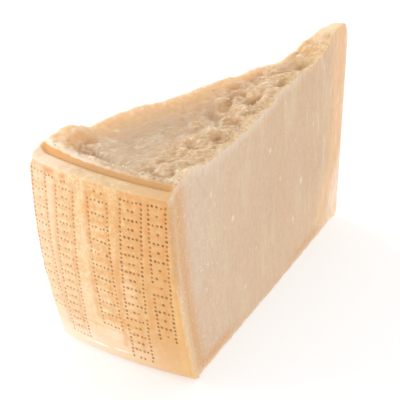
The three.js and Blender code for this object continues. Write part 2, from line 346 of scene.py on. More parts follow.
# %% Flakes and tear streaks
STREAK_SPACING = 1.5
STREAK_STRETCH = 6.0
STREAK_ANGLE = math.radians(3)
STREAK_SEED = 57
FLAKE_LENGTH = 8.0
FLAKE_WIDTH = 2.9
FLAKE_STEP = 0.4
FLAKE_TILT = 0.16
FLAKE_ANGLE = math.radians(-45)
FLAKE_SEED = 97


def turned(x, y, angle):
    return x * math.cos(angle) - y * math.sin(angle), x * math.sin(angle) + y * math.cos(angle)


def flakes(x, y, seed):
    """Long tilted plates with steps between them; the nearest plate's middle wins."""
    over, along = turned(x, y, FLAKE_ANGLE)
    over, along = over / FLAKE_WIDTH, along / FLAKE_LENGTH
    column, row = np.floor(over), np.floor(along)
    nearest, height = np.full(np.shape(x), 9.0), np.zeros(np.shape(x))
    for i in (-1, 0, 1):
        for j in (-1, 0, 1):
            a, b = column + i, row + j
            away_over = over - a - chance(a, b, seed)
            away_along = along - b - chance(a, b, seed + 1)
            distance = away_over**2 + away_along**2
            plate = FLAKE_STEP * (chance(a, b, seed + 2) - 0.5)
            plate += FLAKE_TILT * FLAKE_WIDTH * away_over
            height = np.where(distance < nearest, plate, height)
            nearest = np.minimum(nearest, distance)
    return height


def streak(x, y):
    over, along = turned(x, y, STREAK_ANGLE)
    return grain(over, along / STREAK_STRETCH, STREAK_SPACING, STREAK_SEED)


print(f"flakes of {FLAKE_LENGTH} by {FLAKE_WIDTH} mm, streaks {STREAK_SPACING} mm apart")

# %% Height of the fine relief
FINE_GRAINS = [(3.8, 0.9, 23), (2.2, 0.5, 31), (1.3, 0.22, 41)]
FINE_SMOOTH_SHARE = 0.32
LUMP_GRAIN = (4.6, 1.1, 131)
STREAK_HEIGHT = 0.27


def fine_relief(x, y):
    crumbly_here, lumpy_here = crumbliness(x, y), lumpiness(x, y)
    share = mix(FINE_SMOOTH_SHARE, 1, np.maximum(crumbly_here, lumpy_here))
    relief = strongest(*swayed(x, y), CHALKY_PLACES)
    for size, tall, seed in FINE_GRAINS:
        relief += share * tall * grain(x, y, size, seed)
    size, tall, seed = LUMP_GRAIN
    relief += lumpy_here * tall * grain(x, y, size, seed)
    relief += STREAK_HEIGHT * streak(x, y) * (1 - crumbly_here)
    relief -= crevice_depth(x, y, CRACKS)
    return relief + flakes(x, y, FLAKE_SEED) * strongest(x, y, FLAKY_PLACES, flat_spot)


test_relief = fine_relief(np.array([15.0]), np.array([-150.0]))[0]
print(f"the fine relief beside the hollow adds {test_relief:.2f} mm")

# %% [markdown]
# ## The wedge in plan
# At each height the wedge is a slice of a disc: across it from the left cut to the right, and
# along it from the rind to the tip. Both cuts lean a little, so the same place across moves
# with height. One function gives every side's plan, and so neighbouring faces meet exactly.

# %% Plan and barrel side
def together(*values):
    """Numbers and arrays as arrays of one common shape."""
    return np.broadcast_arrays(*[np.asarray(value, float) for value in values])


def barrel_radius(z):
    below = np.maximum(0, SCORE_HEIGHT - z) / SCORE_HEIGHT
    return WHEEL_RADIUS - BASE_DRAW_IN * below**2


def base_rounding(across):
    return mix(BASE_ROUNDING_LEFT, BASE_ROUNDING_RIGHT, across)


def rind_radius(z, across):
    rounding = base_rounding(across)
    under = np.clip(rounding - z, 0, rounding)
    drawn_in = rounding - np.sqrt(rounding**2 - under**2)
    return barrel_radius(np.maximum(z, rounding)) - drawn_in


def plan_point(across, along, z):
    lean = np.maximum(0, 1 - z / SCORE_HEIGHT)
    left, right = HALF_ANGLE + LEFT_LEAN * lean, HALF_ANGLE + RIGHT_LEAN * lean
    angle = mix(-left, right, across)
    radius = rind_radius(z, across)
    toe = np.clip(1 - z / TIP_TOE_ROUNDING, 0, 1)
    toe_set_back = TIP_TOE_ROUNDING * (1 - np.sqrt(1 - toe**2))
    turn = math.pi * (1 - across)
    tip_x = TIP_SET_ASIDE * lean + TIP_HALF_WIDTH * np.cos(turn)
    tip_y = -TIP_SET_BACK * lean - toe_set_back - TIP_HALF_WIDTH * (1 - np.sin(turn))
    x = mix(radius * np.sin(angle), tip_x, along)
    y = mix(-radius * np.cos(angle), tip_y, along)
    return x, y


print(f"the barrel draws in from {barrel_radius(SCORE_HEIGHT):.0f} to {barrel_radius(0):.1f} mm")

# %% [markdown]
# ## The scored ring and the top
# Before a wheel is broken open, a knife scores a ring round it. That leaves a sloping lip,
# the knife's kerf, and the rim of the break that stands up behind it. The kerf closes into a
# bank at both ends. Distances are counted along the profile, up and down its walls, so that
# points spread evenly on steep walls too.

# %% Profile of the scored ring
KERF_BACK = LIP_WIDTH + KERF_WIDTH
BREAK_START = KERF_BACK + KERF_BACK_SLOPE
KERF_FLOOR = LIP_INNER_HEIGHT - KERF_DEPTH
RING_INWARD = [0, LIP_ROUNDING, LIP_WIDTH, LIP_WIDTH + KERF_FRONT_SLOPE, KERF_BACK, BREAK_START]
LIP_SLOPE = (LIP_INNER_HEIGHT - LIP_OUTER_HEIGHT) / LIP_WIDTH
LIP_MIDDLE = LIP_OUTER_HEIGHT + LIP_SLOPE * LIP_ROUNDING
RING_OPEN = [LIP_OUTER_HEIGHT, LIP_MIDDLE, LIP_INNER_HEIGHT, KERF_FLOOR, KERF_FLOOR, RIM_HEIGHT]
RING_LEFT_BANK = [LIP_OUTER_HEIGHT + rise for rise in (0.6, 2.0, 3.4, 3.7, 4.6, 5.2)]
RING_RIGHT_BANK = [LIP_OUTER_HEIGHT + rise for rise in (0, 0.7, 2.2, 2.4, 3.1, 3.8)]
RING_TRAVEL = np.concatenate([[0], np.cumsum(np.hypot(np.diff(RING_INWARD), np.diff(RING_OPEN)))])
TOP_TRAVEL = RING_TRAVEL[-1] + WHEEL_RADIUS - BREAK_START
RIM_RAGGEDNESS = 0.7
RIM_RAG_SIZE = 2.6
RIM_RAG_SEED = 71


def inward_of(travel):
    return np.interp(travel, [*RING_TRAVEL, TOP_TRAVEL], [*RING_INWARD, WHEEL_RADIUS])


def ring_height(across, travel):
    left_bank, scored, right_bank = [
        np.interp(travel, RING_TRAVEL, profile) for profile in (RING_LEFT_BANK, RING_OPEN, RING_RIGHT_BANK)
    ]
    height = mix(left_bank, scored, ease(across, 0, KERF_RUN_OUT_LEFT))
    height = mix(height, right_bank, ease(across, 1 - KERF_RUN_OUT_RIGHT, 1))
    ragged = ease(travel, RING_TRAVEL[-2], RING_TRAVEL[-1]) * RIM_RAGGEDNESS
    return height + ragged * grain(across * RIND_ARC, travel, RIM_RAG_SIZE, RIM_RAG_SEED)


def top_point(across, travel):
    across, travel = together(across, travel)
    inward = inward_of(travel)
    ring_z = ring_height(across, travel)
    x, y = plan_point(across, inward / WHEEL_RADIUS, np.full(np.shape(across), SCORE_HEIGHT))
    torn_z = break_height(x, y) + fine_relief(x, y)
    torn_z = mix(ring_z, torn_z, ease(inward, BREAK_START, BREAK_START + RIM_WIDTH))
    torn_z -= np.maximum(0, torn_z - PEAK_FROM) * PEAK_SQUEEZE
    on_ring = travel <= RING_TRAVEL[-1]
    ring_x, ring_y = plan_point(across, inward / WHEEL_RADIUS, ring_z)
    ring_spots, torn_spots = np.stack([ring_x, ring_y, ring_z], -1), np.stack([x, y, torn_z], -1)
    return np.where(on_ring[..., None], ring_spots, torn_spots)


print(f"travel over the ring: {RING_TRAVEL[-1]:.1f} mm, over the whole top: {TOP_TRAVEL:.1f} mm")

# %% [markdown]
# ## Patches that share their borders
# The wedge has six sides with very different detail, so each gets its own net of points,
# fine where it is torn or pierced and wide where it is smooth. A Delaunay net fills an
# outline with well-shaped triangles and takes points wherever detail needs them. Borders are
# made once and handed to both neighbours, so the six patches close into one skin.

# %% Spacing of the points along every border
FINE = 0.5
MEDIUM = 1.0
WIDE = 1.5
TIP_ARC = math.pi * TIP_HALF_WIDTH
SIDE_RISE = 101.5


def evenly(start, end, spacing):
    return np.linspace(start, end, max(2, round(abs(end - start) / spacing) + 1))


across_fine = evenly(0, RIND_ARC, FINE) / RIND_ARC
across_medium = evenly(0, RIND_ARC, MEDIUM) / RIND_ARC
across_tip = evenly(0, TIP_ARC, FINE) / TIP_ARC
knots = [*RING_TRAVEL, TOP_TRAVEL]
travel_fine = np.unique(np.concatenate([evenly(a, b, FINE) for a, b in zip(knots, knots[1:])]))
rise_share = evenly(0, SIDE_RISE, MEDIUM) / SIDE_RISE
inward_wide = evenly(0, WHEEL_RADIUS, WIDE)
print(f"points on a border: {len(across_fine)} over the rind, {len(travel_fine)} along a torn edge")

# %% Points on the rind and on the walls under the torn edges
def rind_point(across, share):
    across, share = together(across, share)
    rounding = base_rounding(across)
    arc = rounding * math.pi / 2
    travel = share * (arc + ring_height(across, np.zeros(across.shape)) - rounding)
    rounded = rounding * (1 - np.cos(np.minimum(travel, arc) / rounding))
    z = np.where(travel < arc, rounded, rounding + travel - arc)
    x, y = plan_point(across, np.zeros(across.shape), z)
    return np.stack([x, y, z], -1)


def wall_point(across, inward, z):
    across, inward, z = together(across, inward, z)
    x, y = plan_point(across, inward / WHEEL_RADIUS, z)
    return np.stack([x, y, z], -1)


def tip_point(across, share):
    across, share = together(across, share)
    top = top_point(across, TOP_TRAVEL)
    z = top[..., 2] * share
    x, y = plan_point(across, np.ones(z.shape), z)
    return np.where((share >= 1)[..., None], top, np.stack([x, y, z], -1))


# %% [markdown]
# ## One function for any patch
# A patch is an outline in a flat drawing, the same outline in space, some inner points of the
# drawing, and a rule that lifts them into space. Corners in the flat drawing run
# anticlockwise as seen from outside the cheese, which makes every triangle face outward.

# %% Build a patch and collect the skin
skin = {"points": [], "faces": [], "kinds": [], "pierced": []}
KINDS = ["rind", "ring", "break", "cut"]


def outline(sides):
    """Joins (drawing, space) pairs; each leaves out its last point, which the next starts with."""
    drawn = np.concatenate([drawing[:-1] for drawing, _ in sides])
    placed = np.concatenate([space[:-1] for _, space in sides])
    return drawn, placed


def add_patch(kind_of, sides, inner, lift, pierced=None):
    drawn, placed = outline(sides)
    flat = np.concatenate([drawn, inner])
    ring = list(range(len(drawn)))
    found = delaunay_2d_cdt([Vector(p) for p in flat], [], [ring], 1, 1e-6)
    points, faces = np.array([tuple(p) for p in found[0]]), np.array(found[2])
    source = np.array([origins[0] for origins in found[3]])
    space = np.concatenate([placed, lift(inner)])
    dots = np.zeros(len(flat))
    if pierced is not None:
        dots[len(drawn):] = pierced
    start = sum(len(p) for p in skin["points"])
    skin["points"].append(space[source])
    skin["faces"].append(faces + start)
    skin["kinds"].append(kind_of(points[faces].mean(1)))
    skin["pierced"].append(dots[source])
    print(f"patch of {len(points)} points and {len(faces)} triangles")


def all_of(kind):
    return lambda middles: np.full(len(middles), KINDS.index(kind))


def pairs(first, second):
    return np.stack(together(first, second), -1)


def borders(draw, place, *runs):
    """Each run of points along a border, both in the flat drawing and in space."""
    return [(draw(*run), place(*run)) for run in runs]


# %% [markdown]
# ## The torn top
# Rows of points run across the top, each row with as many points as its width needs, so the
# spacing stays at half a millimetre from the wide rind end to the thin tip. A little chance
# in each place keeps the net from showing as straight lines in the torn paste.

# %% Make the top
NUDGE = 0.22
FEWEST_IN_ROW = 4
rng = np.random.default_rng(5)


def row_width(travel):
    return mix(RIND_ARC, TIP_ARC, inward_of(travel) / WHEEL_RADIUS)


def draw_top(across, travel):
    return pairs((np.asarray(across) - 0.5) * row_width(travel), travel)


def lift_top(drawn):
    travel = drawn[:, 1]
    return top_point(drawn[:, 0] / row_width(travel) + 0.5, travel)


rows = []
for number, travel in enumerate(travel_fine[1:-1]):
    count = max(FEWEST_IN_ROW, round(row_width(travel) / FINE))
    shift = 0.5 * (number % 2)
    places = (np.arange(1, count) + shift - 0.25 + NUDGE * rng.uniform(-1, 1, count - 1)) / count
    nudged = travel + (FINE * NUDGE * rng.uniform(-1, 1, count - 1) if travel > RING_TRAVEL[-1] else 0)
    rows.append(draw_top(places, np.broadcast_to(nudged, places.shape)))


def ring_or_break(middles):
    return np.where(middles[:, 1] < RING_TRAVEL[-1], KINDS.index("ring"), KINDS.index("break"))


top_runs = (across_fine, 0), (1, travel_fine), (across_tip[::-1], TOP_TRAVEL), (0, travel_fine[::-1])
add_patch(ring_or_break, borders(draw_top, top_point, *top_runs), np.concatenate(rows), lift_top)

# %% [markdown]
# ## The pierced rind
# The rinds of such wheels are pierced with rows of small dots by the mould's pins. Here the
# dots form plain ladders in five columns, some with an eye between their rungs. The outer
# ladders are narrower, so that they stay clear of the cuts. Each dot is a real pit, with two
# rings of points and a centre, because a dot only painted on looks flat when close.

# %% Where the dots go
DOT_PITCH_ACROSS = 2.1
DOT_PITCH_DOWN = 2.2
# Steps sideways from the column's middle to each dot, row by row.
RUNG, RAILS = [-2.5, -1.5, -0.5, 0.5, 1.5, 2.5], [-2.5, 2.5]
NARROW_RUNG, NARROW_RAILS = [-2, -1, 0, 1, 2], [-2, 2]
LADDER = [RUNG, RAILS, RAILS]
EYED_LADDER = [RUNG, RAILS, [-2.5, -0.5, 0.5, 2.5], RAILS]
NARROW_LADDER = [NARROW_RUNG, NARROW_RAILS, [-2, 0, 2], NARROW_RAILS]
# Middle, top, foot, lean and figures of each column.
COLUMNS = [
    (-32.6, 97.0, 23.0, 0.02, NARROW_LADDER),
    (-16.5, 93.0, 10.0, 0.08, EYED_LADDER),
    (2.5, 93.0, 24.0, 0.035, LADDER),
    (20.3, 97.0, 11.0, 0.08, EYED_LADDER),
    (33.3, 97.5, 26.0, 0.045, NARROW_LADDER),
]
DOT_JITTER = 0.2
DOTS_MISSED = 0.02
DOT_CLEAR_OF_CUT = 1.1
DOT_GROWTH = 0.3
DOT_SIZES = (0.85, 1.25)
CUT_OFF_SIZES = (1.0, 1.3)
# Side and height of the dots left over from the row that the scored ring cut through.
CUT_OFF_DOTS = [
    (1.4, 97.3), (3.3, 97.5), (5.1, 97.1), (-27.5, 96.3), (-25.5, 96.9), (-23.5, 96.5), (-18, 96.2),
    (-16.1, 96.6),
]


def dot_places():
    spots = [(side, height, rng.uniform(*CUT_OFF_SIZES)) for side, height in CUT_OFF_DOTS]
    for middle, top, foot, lean, figures in COLUMNS:
        for row in range(int((top - foot) / DOT_PITCH_DOWN)):
            for step in figures[row % len(figures)]:
                down = row * DOT_PITCH_DOWN + DOT_JITTER * rng.uniform(-1, 1)
                aside = step * DOT_PITCH_ACROSS + DOT_JITTER * rng.uniform(-1, 1)
                size = rng.uniform(*DOT_SIZES) + DOT_GROWTH * middle / RIND_ARC
                spots.append((middle + aside - lean * down, top - down, size))
    spots = np.array(spots)
    pierced_through = rng.uniform(0, 1, len(spots)) > DOTS_MISSED
    return spots[pierced_through & (np.abs(spots[:, 0]) < RIND_ARC / 2 - DOT_CLEAR_OF_CUT)]


dots = dot_places()
print(f"{len(dots)} dots pierce the rind")

# %% Waves and seam of the rind
# Size, height and seed of the rind's shallow waves, and what keeps all of them below the barrel.
RIND_WAVES = [(23.0, 0.35, 83), (9.0, 0.16, 89)]
HIGHEST_WAVE = 0.1
WAVE_STRETCH = 2.0
WAVES_FADE = 4.0
SEAM_SIDE = 24.5
SEAM_DEPTH = 0.22
SEAM_HALF_WIDTH = 0.7


def rind_sink(side, rise):
    from_edge = [RIND_ARC / 2 - np.abs(side), SIDE_RISE - rise]
    sink = SEAM_DEPTH * bell((side - SEAM_SIDE) / SEAM_HALF_WIDTH)
    for size, tall, seed in RIND_WAVES:
        sink += tall * (HIGHEST_WAVE - grain(side, rise / WAVE_STRETCH, size, seed))
    return sink * np.prod(np.clip(np.divide(from_edge, WAVES_FADE), 0, 1), 0)


seam_sink = rind_sink(np.array([SEAM_SIDE]), np.array([SIDE_RISE / 2]))[0]
print(f"halfway up, the seam lies {seam_sink:.2f} mm deep")

# %% Make the rind
DOT_RADIUS = 0.84
DOT_DEPTH = 0.26
# Reach, number of points, share of the depth and tone of each ring of a pit.
DOT_RINGS = [(1.0, 8, 0.0, 0.0), (0.55, 6, 0.6, 0.85)]
DOT_CLEAR = 1.1


def draw_rind(across, share):
    return pairs((np.asarray(across) - 0.5) * RIND_ARC, np.asarray(share) * SIDE_RISE)


def lift_rind(drawn):
    space = rind_point(drawn[:, 0] / RIND_ARC + 0.5, drawn[:, 1] / SIDE_RISE)
    sink = rind_sink(drawn[:, 0], drawn[:, 1]) + dot_depth
    outward = space[:, :2] / np.hypot(space[:, 0], space[:, 1])[:, None]
    space[:, :2] -= outward * sink[:, None]
    return space


def loose_grid(width, height, spacing):
    columns, rows_up = round(width / spacing), round(height / spacing)
    i, j = np.meshgrid(np.arange(1, columns), np.arange(1, rows_up), indexing="ij")
    spots = np.stack([i / columns * width, j / rows_up * height], -1).reshape(-1, 2)
    return spots + spacing * NUDGE * rng.uniform(-1, 1, spots.shape)


spread = loose_grid(RIND_ARC, SIDE_RISE, MEDIUM) - [RIND_ARC / 2, 0]
gaps = np.min([np.hypot(*(spread - d[:2]).T) for d in dots], axis=0)
spread = spread[gaps > DOT_CLEAR]
pit_points, pit_shares = [spread], [np.zeros((len(spread), 2))]
for reach, count, depth, dark in [(0.0, 1, 1.0, 1.0), *DOT_RINGS]:
    for turn in np.arange(count) * 2 * math.pi / count:
        around = np.array([math.cos(turn), math.sin(turn)]) * DOT_RADIUS * reach
        pit_points.append(dots[:, :2] + around * dots[:, 2:3])
        pit_shares.append(np.full((len(dots), 2), [depth, dark]))
inner_rind, pit_shares = np.concatenate(pit_points), np.concatenate(pit_shares)
dot_depth, pierced = DOT_DEPTH * pit_shares[:, 0], pit_shares[:, 1]

rind_runs = (across_medium, 0), (1, rise_share), (0, rise_share[::-1])
rind_sides = borders(draw_rind, rind_point, *rind_runs)
rind_sides.insert(2, (draw_rind(across_fine[::-1], 1), top_point(across_fine[::-1], 0)))
add_patch(all_of("rind"), rind_sides, inner_rind, lift_rind, pierced)

# %% [markdown]
# ## The two cut faces, the tip and the base
# A wire leaves the cut faces nearly flat. They only need fine points along the torn edge above
# and where they meet the rind; the rest can be wide. The tip is a narrow strip between them,
# and the base is the wheel's own flat face, which nobody sees but which closes the skin.

# %% Make the cut faces
CLEAR_OF_BORDER = 0.8
CLEAR_SHARE = 0.6
HIGHEST_CUT = 116.0


def clear_of(border, spots, gap):
    return np.array([spot for spot in spots if np.hypot(*(border - spot).T).min() > gap])


def cut_face(across, facing):
    rind = rind_point(across, rise_share)
    tip = tip_point(across, rise_share)
    top = top_point(across, travel_fine)
    base = wall_point(across, inward_wide, 0)
    draw = {
        "rind": pairs(facing * 0.0, rind[:, 2]),
        "tip": pairs(facing * WHEEL_RADIUS, tip[:, 2]),
        "top": pairs(facing * inward_of(travel_fine), top[:, 2]),
        "base": pairs(facing * inward_wide, 0),
    }
    sides = [
        (draw["base"], base),
        (draw["tip"], tip),
        (draw["top"][::-1], top[::-1]),
        (draw["rind"][::-1], rind[::-1]),
    ]
    if facing < 0:
        sides = [(drawn[::-1], placed[::-1]) for drawn, placed in reversed(sides)]
    spots = loose_grid(WHEEL_RADIUS, HIGHEST_CUT, WIDE)
    under_top = np.interp(spots[:, 0], inward_of(travel_fine), top[:, 2]) - CLEAR_OF_BORDER
    spots = spots[spots[:, 1] < under_top]
    collar = np.stack([inward_of(travel_fine), top[:, 2] - CLEAR_OF_BORDER], -1)[3:-3:2]
    spots = np.concatenate([spots, collar]) * [facing, 1]
    spots = clear_of(np.concatenate([d for d, _ in sides]), spots, CLEAR_OF_BORDER * CLEAR_SHARE)

    def lift(drawn):
        return wall_point(across, drawn[:, 0] * facing, drawn[:, 1])

    add_patch(all_of("cut"), sides, spots, lift)


cut_face(1, 1)
cut_face(0, -1)

# %% Make the tip
def draw_tip(across, share):
    return pairs((1 - np.asarray(across)) * TIP_ARC, np.asarray(share) * SIDE_RISE)


def lift_tip(drawn):
    return tip_point(1 - drawn[:, 0] / TIP_ARC, drawn[:, 1] / SIDE_RISE)


tip_grid = np.stack(np.meshgrid(across_tip[1:-1], rise_share[1:-1]), -1).reshape(-1, 2)
tip_runs = (across_tip[::-1], 0), (0, rise_share), (across_tip, 1), (1, rise_share[::-1])
add_patch(all_of("cut"), borders(draw_tip, tip_point, *tip_runs), draw_tip(*tip_grid.T), lift_tip)

# %% Make the base
BASE_SPACING = 3.0
BASE_NET_BEHIND_TIP = 20.0


def draw_base(space):
    return space[:, :2] * [-1, 1]


base_sides = [
    rind_point(across_medium[::-1], 0),
    wall_point(0, inward_wide, 0),
    tip_point(across_tip, 0),
    wall_point(1, inward_wide[::-1], 0),
]
base_border = np.concatenate([side[:, :2] for side in base_sides])
base_spots = loose_grid(2 * RIND_ARC, WHEEL_RADIUS, BASE_SPACING) - [RIND_ARC, WHEEL_RADIUS]
reach = np.hypot(*base_spots.T)
aside = np.abs(np.arctan2(base_spots[:, 0], -base_spots[:, 1]))
on_base = (reach < barrel_radius(0) - BASE_ROUNDING_RIGHT) & (reach > BASE_NET_BEHIND_TIP)
base_spots = clear_of(base_border, base_spots[on_base & (aside < HALF_ANGLE)], BASE_SPACING / 2)
add_patch(
    all_of("rind"),
    [(draw_base(side), side) for side in base_sides],
    base_spots * [-1, 1],
    lambda drawn: np.column_stack([-drawn[:, 0], drawn[:, 1], np.zeros(len(drawn))]),
)

# %% [markdown]
# ## From patches to one skin
# Border points now lie twice in the same place. Merging them turns six patches into one
# closed skin. Its edges are still knife-sharp, which cheese never is, so the points on them
# and beside them are drawn a little toward the middle of their neighbours.

# %% Merge the patches
MERGE_GRID = 1e-4

all_points, all_faces = np.concatenate(skin["points"]), np.concatenate(skin["faces"])
keys = np.round(all_points / MERGE_GRID).astype(np.int64)
_, first, merged = np.unique(keys, axis=0, return_index=True, return_inverse=True)
merged = merged.ravel()
points, faces = all_points[first], merged[all_faces]
pierced_tone = np.concatenate(skin["pierced"])[first]
face_kinds = np.concatenate(skin["kinds"])
on_edge = np.bincount(merged, minlength=len(points)) > 1

links = np.sort(np.concatenate([faces[:, [0, 1]], faces[:, [1, 2]], faces[:, [2, 0]]]), 1)
links, uses = np.unique(links, axis=0, return_counts=True)
print(f"skin of {len(points)} points and {len(faces)} triangles, {np.sum(uses != 2)} open edges")

# %% Soften the edges
# How strongly the points on an edge are drawn in, then those beside them and next to those.
EDGE_PULLS = [0.5, 0.4, 0.25]
PULL_ROUNDS = 5
FOOT_PULL = 0.5
FOOT_ROUNDS = 6
FOOT_EVEN_FROM = 12.0


def neighbour_mean(values, among):
    total, count = np.zeros_like(values), np.bincount(among.ravel(), minlength=len(values))
    np.add.at(total, among[:, 0], values[among[:, 1]])
    np.add.at(total, among[:, 1], values[among[:, 0]])
    return total / np.maximum(count, 1).reshape(-1, *[1] * (values.ndim - 1))


def soften(spots, pull, rounds, among):
    flat_on_table = spots[:, 2] < MERGE_GRID
    for _ in range(rounds):
        spots = mix(spots, neighbour_mean(spots, among), pull[:, None])
        spots[flat_on_table, 2] = 0
    return spots


def behind_rind():
    return WHEEL_RADIUS - np.hypot(points[:, 0], points[:, 1])


near_edge, pull = on_edge, np.zeros(len(points))
for strength in EDGE_PULLS:
    pull = np.maximum(pull, strength * near_edge)
    near_edge = near_edge | (neighbour_mean(near_edge.astype(float), links) > 0)
foot_edge = on_edge & (points[:, 2] < MERGE_GRID) & (behind_rind() < WHEEL_RADIUS - FOOT_EVEN_FROM)
foot_links = links[foot_edge[links].all(1)]
on_foot = np.isin(np.arange(len(points)), foot_links)
points = soften(points, pull, PULL_ROUNDS, links)
points = soften(points, FOOT_PULL * on_foot, FOOT_ROUNDS, foot_links)
print(f"{np.sum(on_edge)} points on the edges are softened, {np.sum(on_foot)} of them round the foot")

# %% Soften the scored ring
LIP_PULL = 0.6
LIP_PULL_REACH = 3.2
LIP_PULL_ROUNDS = 28
KERF_PULL = 0.6
KERF_PULL_REACH = 1.1
KERF_PULL_ROUNDS = 6

from_lip_edge = np.hypot(behind_rind(), points[:, 2] - LIP_OUTER_HEIGHT)
points = soften(points, LIP_PULL * (from_lip_edge < LIP_PULL_REACH), LIP_PULL_ROUNDS, links)
from_kerf_edge = np.hypot(behind_rind() - LIP_WIDTH, points[:, 2] - LIP_INNER_HEIGHT)
points = soften(points, KERF_PULL * (from_kerf_edge < KERF_PULL_REACH), KERF_PULL_ROUNDS, links)
print("softened skin spans", np.round(np.ptp(points, 0), 1), "mm")

# %% [markdown]
# ## What each point knows
# The finishes need to know where on the cheese they are: how deep under the rind, how crumbly
# the ground is, and how far down in a crease. Those numbers are stored on the points, so the
# materials can use them without any painted image. Creases are found by comparing the top with
# a blurred copy of itself: whatever lies below the blurred height is a crease.

# %% Blur the top and find its creases
RELIEF_STEP = 0.5
RELIEF_X = np.arange(-46, 46, RELIEF_STEP)
RELIEF_Y = np.arange(-214, 4, RELIEF_STEP)
# Reach of each blur, and how deep below it a crease has its full painted shade.
CREASE_BLURS = [(1.0, 0.5), (2.2, 1.2)]
POCKET_BLUR = 4.5
POCKET_DEPTH = 1.8


def blurred(field, reach):
    half = math.ceil(3 * reach / RELIEF_STEP)
    weights = bell(np.arange(-half, half + 1) * RELIEF_STEP / (reach * math.sqrt(2)))
    weights /= weights.sum()
    for _ in range(2):
        padded = np.pad(field, ((half, half), (0, 0)), mode="edge")
        field = sum(w * padded[k:k + len(field)] for k, w in enumerate(weights)).T
    return field


def sample_relief(field, spots):
    column = np.clip((spots[:, 0] - RELIEF_X[0]) / RELIEF_STEP, 0, len(RELIEF_X) - 1.001)
    row = np.clip((spots[:, 1] - RELIEF_Y[0]) / RELIEF_STEP, 0, len(RELIEF_Y) - 1.001)
    i, j = np.floor(column).astype(int), np.floor(row).astype(int)
    low = mix(field[i, j], field[i + 1, j], column - i)
    high = mix(field[i, j + 1], field[i + 1, j + 1], column - i)
    return mix(low, high, row - j)


relief_x, relief_y = np.meshgrid(RELIEF_X, RELIEF_Y, indexing="ij")
relief = break_height(relief_x, relief_y) + fine_relief(relief_x, relief_y)
sunk = sum((blurred(relief, reach) - relief) / deep for reach, deep in CREASE_BLURS) / len(CREASE_BLURS)
pockets = (blurred(relief, POCKET_BLUR) - relief) / POCKET_DEPTH
print(f"creases reach {sunk.max():.1f}, pockets {pockets.max():.1f} of their full tone")

# %% Measure the depth under the rind
BAND_BLEND = 9.0
BASE_BAND_SQUEEZE = 1.7

x, y, z = points.T
from_tip, from_rind = np.hypot(x, y), behind_rind()
across = share_across(x, y)
side = np.arctan2(x, -y) / HALF_ANGLE * RIND_ARC / 2
numbers = {"from_tip": from_tip, "across": across, "height": z, "pierced": pierced_tone}

under_side = rind_radius(np.clip(z, 0, SCORE_HEIGHT), across) - from_tip
above_base = z * BASE_BAND_SQUEEZE
near_both = np.maximum(0, BAND_BLEND - np.abs(under_side - above_base))
numbers["rind_depth"] = np.minimum(under_side, above_base) - near_both**2 / (4 * BAND_BLEND)
print(f"the paste reaches {numbers['rind_depth'].max():.0f} mm below the rind")

# %% Measure the walls of the kerf and the scorched ground round the dots
KERF_CLIMB = 0.8
KERF_CLIMBS_UNTIL = (0.15, 0.35)
KERF_FRONT = (LIP_WIDTH + 0.1, LIP_WIDTH + 0.7)
KERF_REAR = (BREAK_START - 0.25, BREAK_START + 0.25)
KERF_STARTS = (0.0, 0.03)
KERF_STOPS = (0.975, 0.995)
HALO_REACH = 1.3
HALO_SHARE = 0.38
HALOS_DEEPEST = BASE_DRAW_IN + 3
HALOS_ABOVE = 5.0
HALOS_BELOW = SCORE_HEIGHT - 1
CLEARLY_SCORCHED = 0.1

climb = KERF_CLIMB * (1 - ease(across, *KERF_CLIMBS_UNTIL))
in_kerf = ease(from_rind, *KERF_FRONT) * (1 - ease(from_rind - climb, *KERF_REAR))
in_kerf *= ease(across, *KERF_STARTS) * (1 - ease(across, *KERF_STOPS))
numbers["kerf"] = in_kerf * (z > LIP_OUTER_HEIGHT)

near_dots = np.flatnonzero((from_rind < HALOS_DEEPEST) & (z > HALOS_ABOVE) & (z < HALOS_BELOW))
clear = np.ones(len(points))
for dot_side, dot_height, strength in dots:
    away = np.hypot(side[near_dots] - dot_side, z[near_dots] - dot_height)
    clear[near_dots] *= 1 - HALO_SHARE * strength * bell(away / HALO_REACH)
numbers["scorch"] = 1 - clear
print(f"{np.mean(numbers['scorch'] > CLEARLY_SCORCHED):.0%} of the points are scorched")

# %% Measure the stains of the rind and the large spots of the cut face
# Each stain's side and height, and how far it reaches sideways and up.
RUSTY_STAINS = [(10, 55, 2.6, 20), (27, 60, 2.2, 11), (33, 24, 9, 7), (-4, 84, 2.5, 7), (22, 86, 4, 6)]
PALE_STAINS = [(-14, 34, 12, 18), (-6, 66, 4, 10), (16, 44, 3.5, 9), (-24, 74, 4, 12), (2, 18, 12, 6)]
SMUDGES = [
    (-17, 95.8, 1.6, 1.3), (19.8, 94, 1.2, 3), (36.6, 89.5, 1.2, 2.4), (-3, 72, 1.2, 1.4), (-26, 96, 2.4, 1),
]
# Distance from the tip, height, reach and strength of each large spot.
CUT_SPOTS = [
    (60, 45, 2.4, 1), (70, 28, 2.0, 1), (145, 62, 2.2, 1), (101, 78, 1.8, 1), (118, 34, 1.6, 1),
    (168, 84, 1.7, 1), (45, 70, 1.6, 1), (88, 58, 1.5, 1), (176, 40, 1.6, 1), (132, 20, 1.5, 1),
]

for label, stains in (("rusty", RUSTY_STAINS), ("faded", PALE_STAINS), ("smudge", SMUDGES)):
    away = [np.hypot((side - a) / wide, (z - b) / high) for a, b, wide, high in stains]
    numbers[label] = bell(np.min(away, 0))
numbers["spot"] = strongest(from_tip, z, CUT_SPOTS)
print(f"{len(RUSTY_STAINS + PALE_STAINS + SMUDGES)} stains on the rind, {len(CUT_SPOTS)} large spots")

# %% Measure the creases, the thin left edge and the rim
# How wide a strip along the left edge is painted with glow, by distance from the tip.
GLOW_WIDTH = [(40, 3), (58, 12), (80, 14), (110, 20), (165, 21), (180, 25), (205, 27)]
RIM_MIDDLE = BREAK_START + 0.6
RIM_FRONT_REACH = 1.0
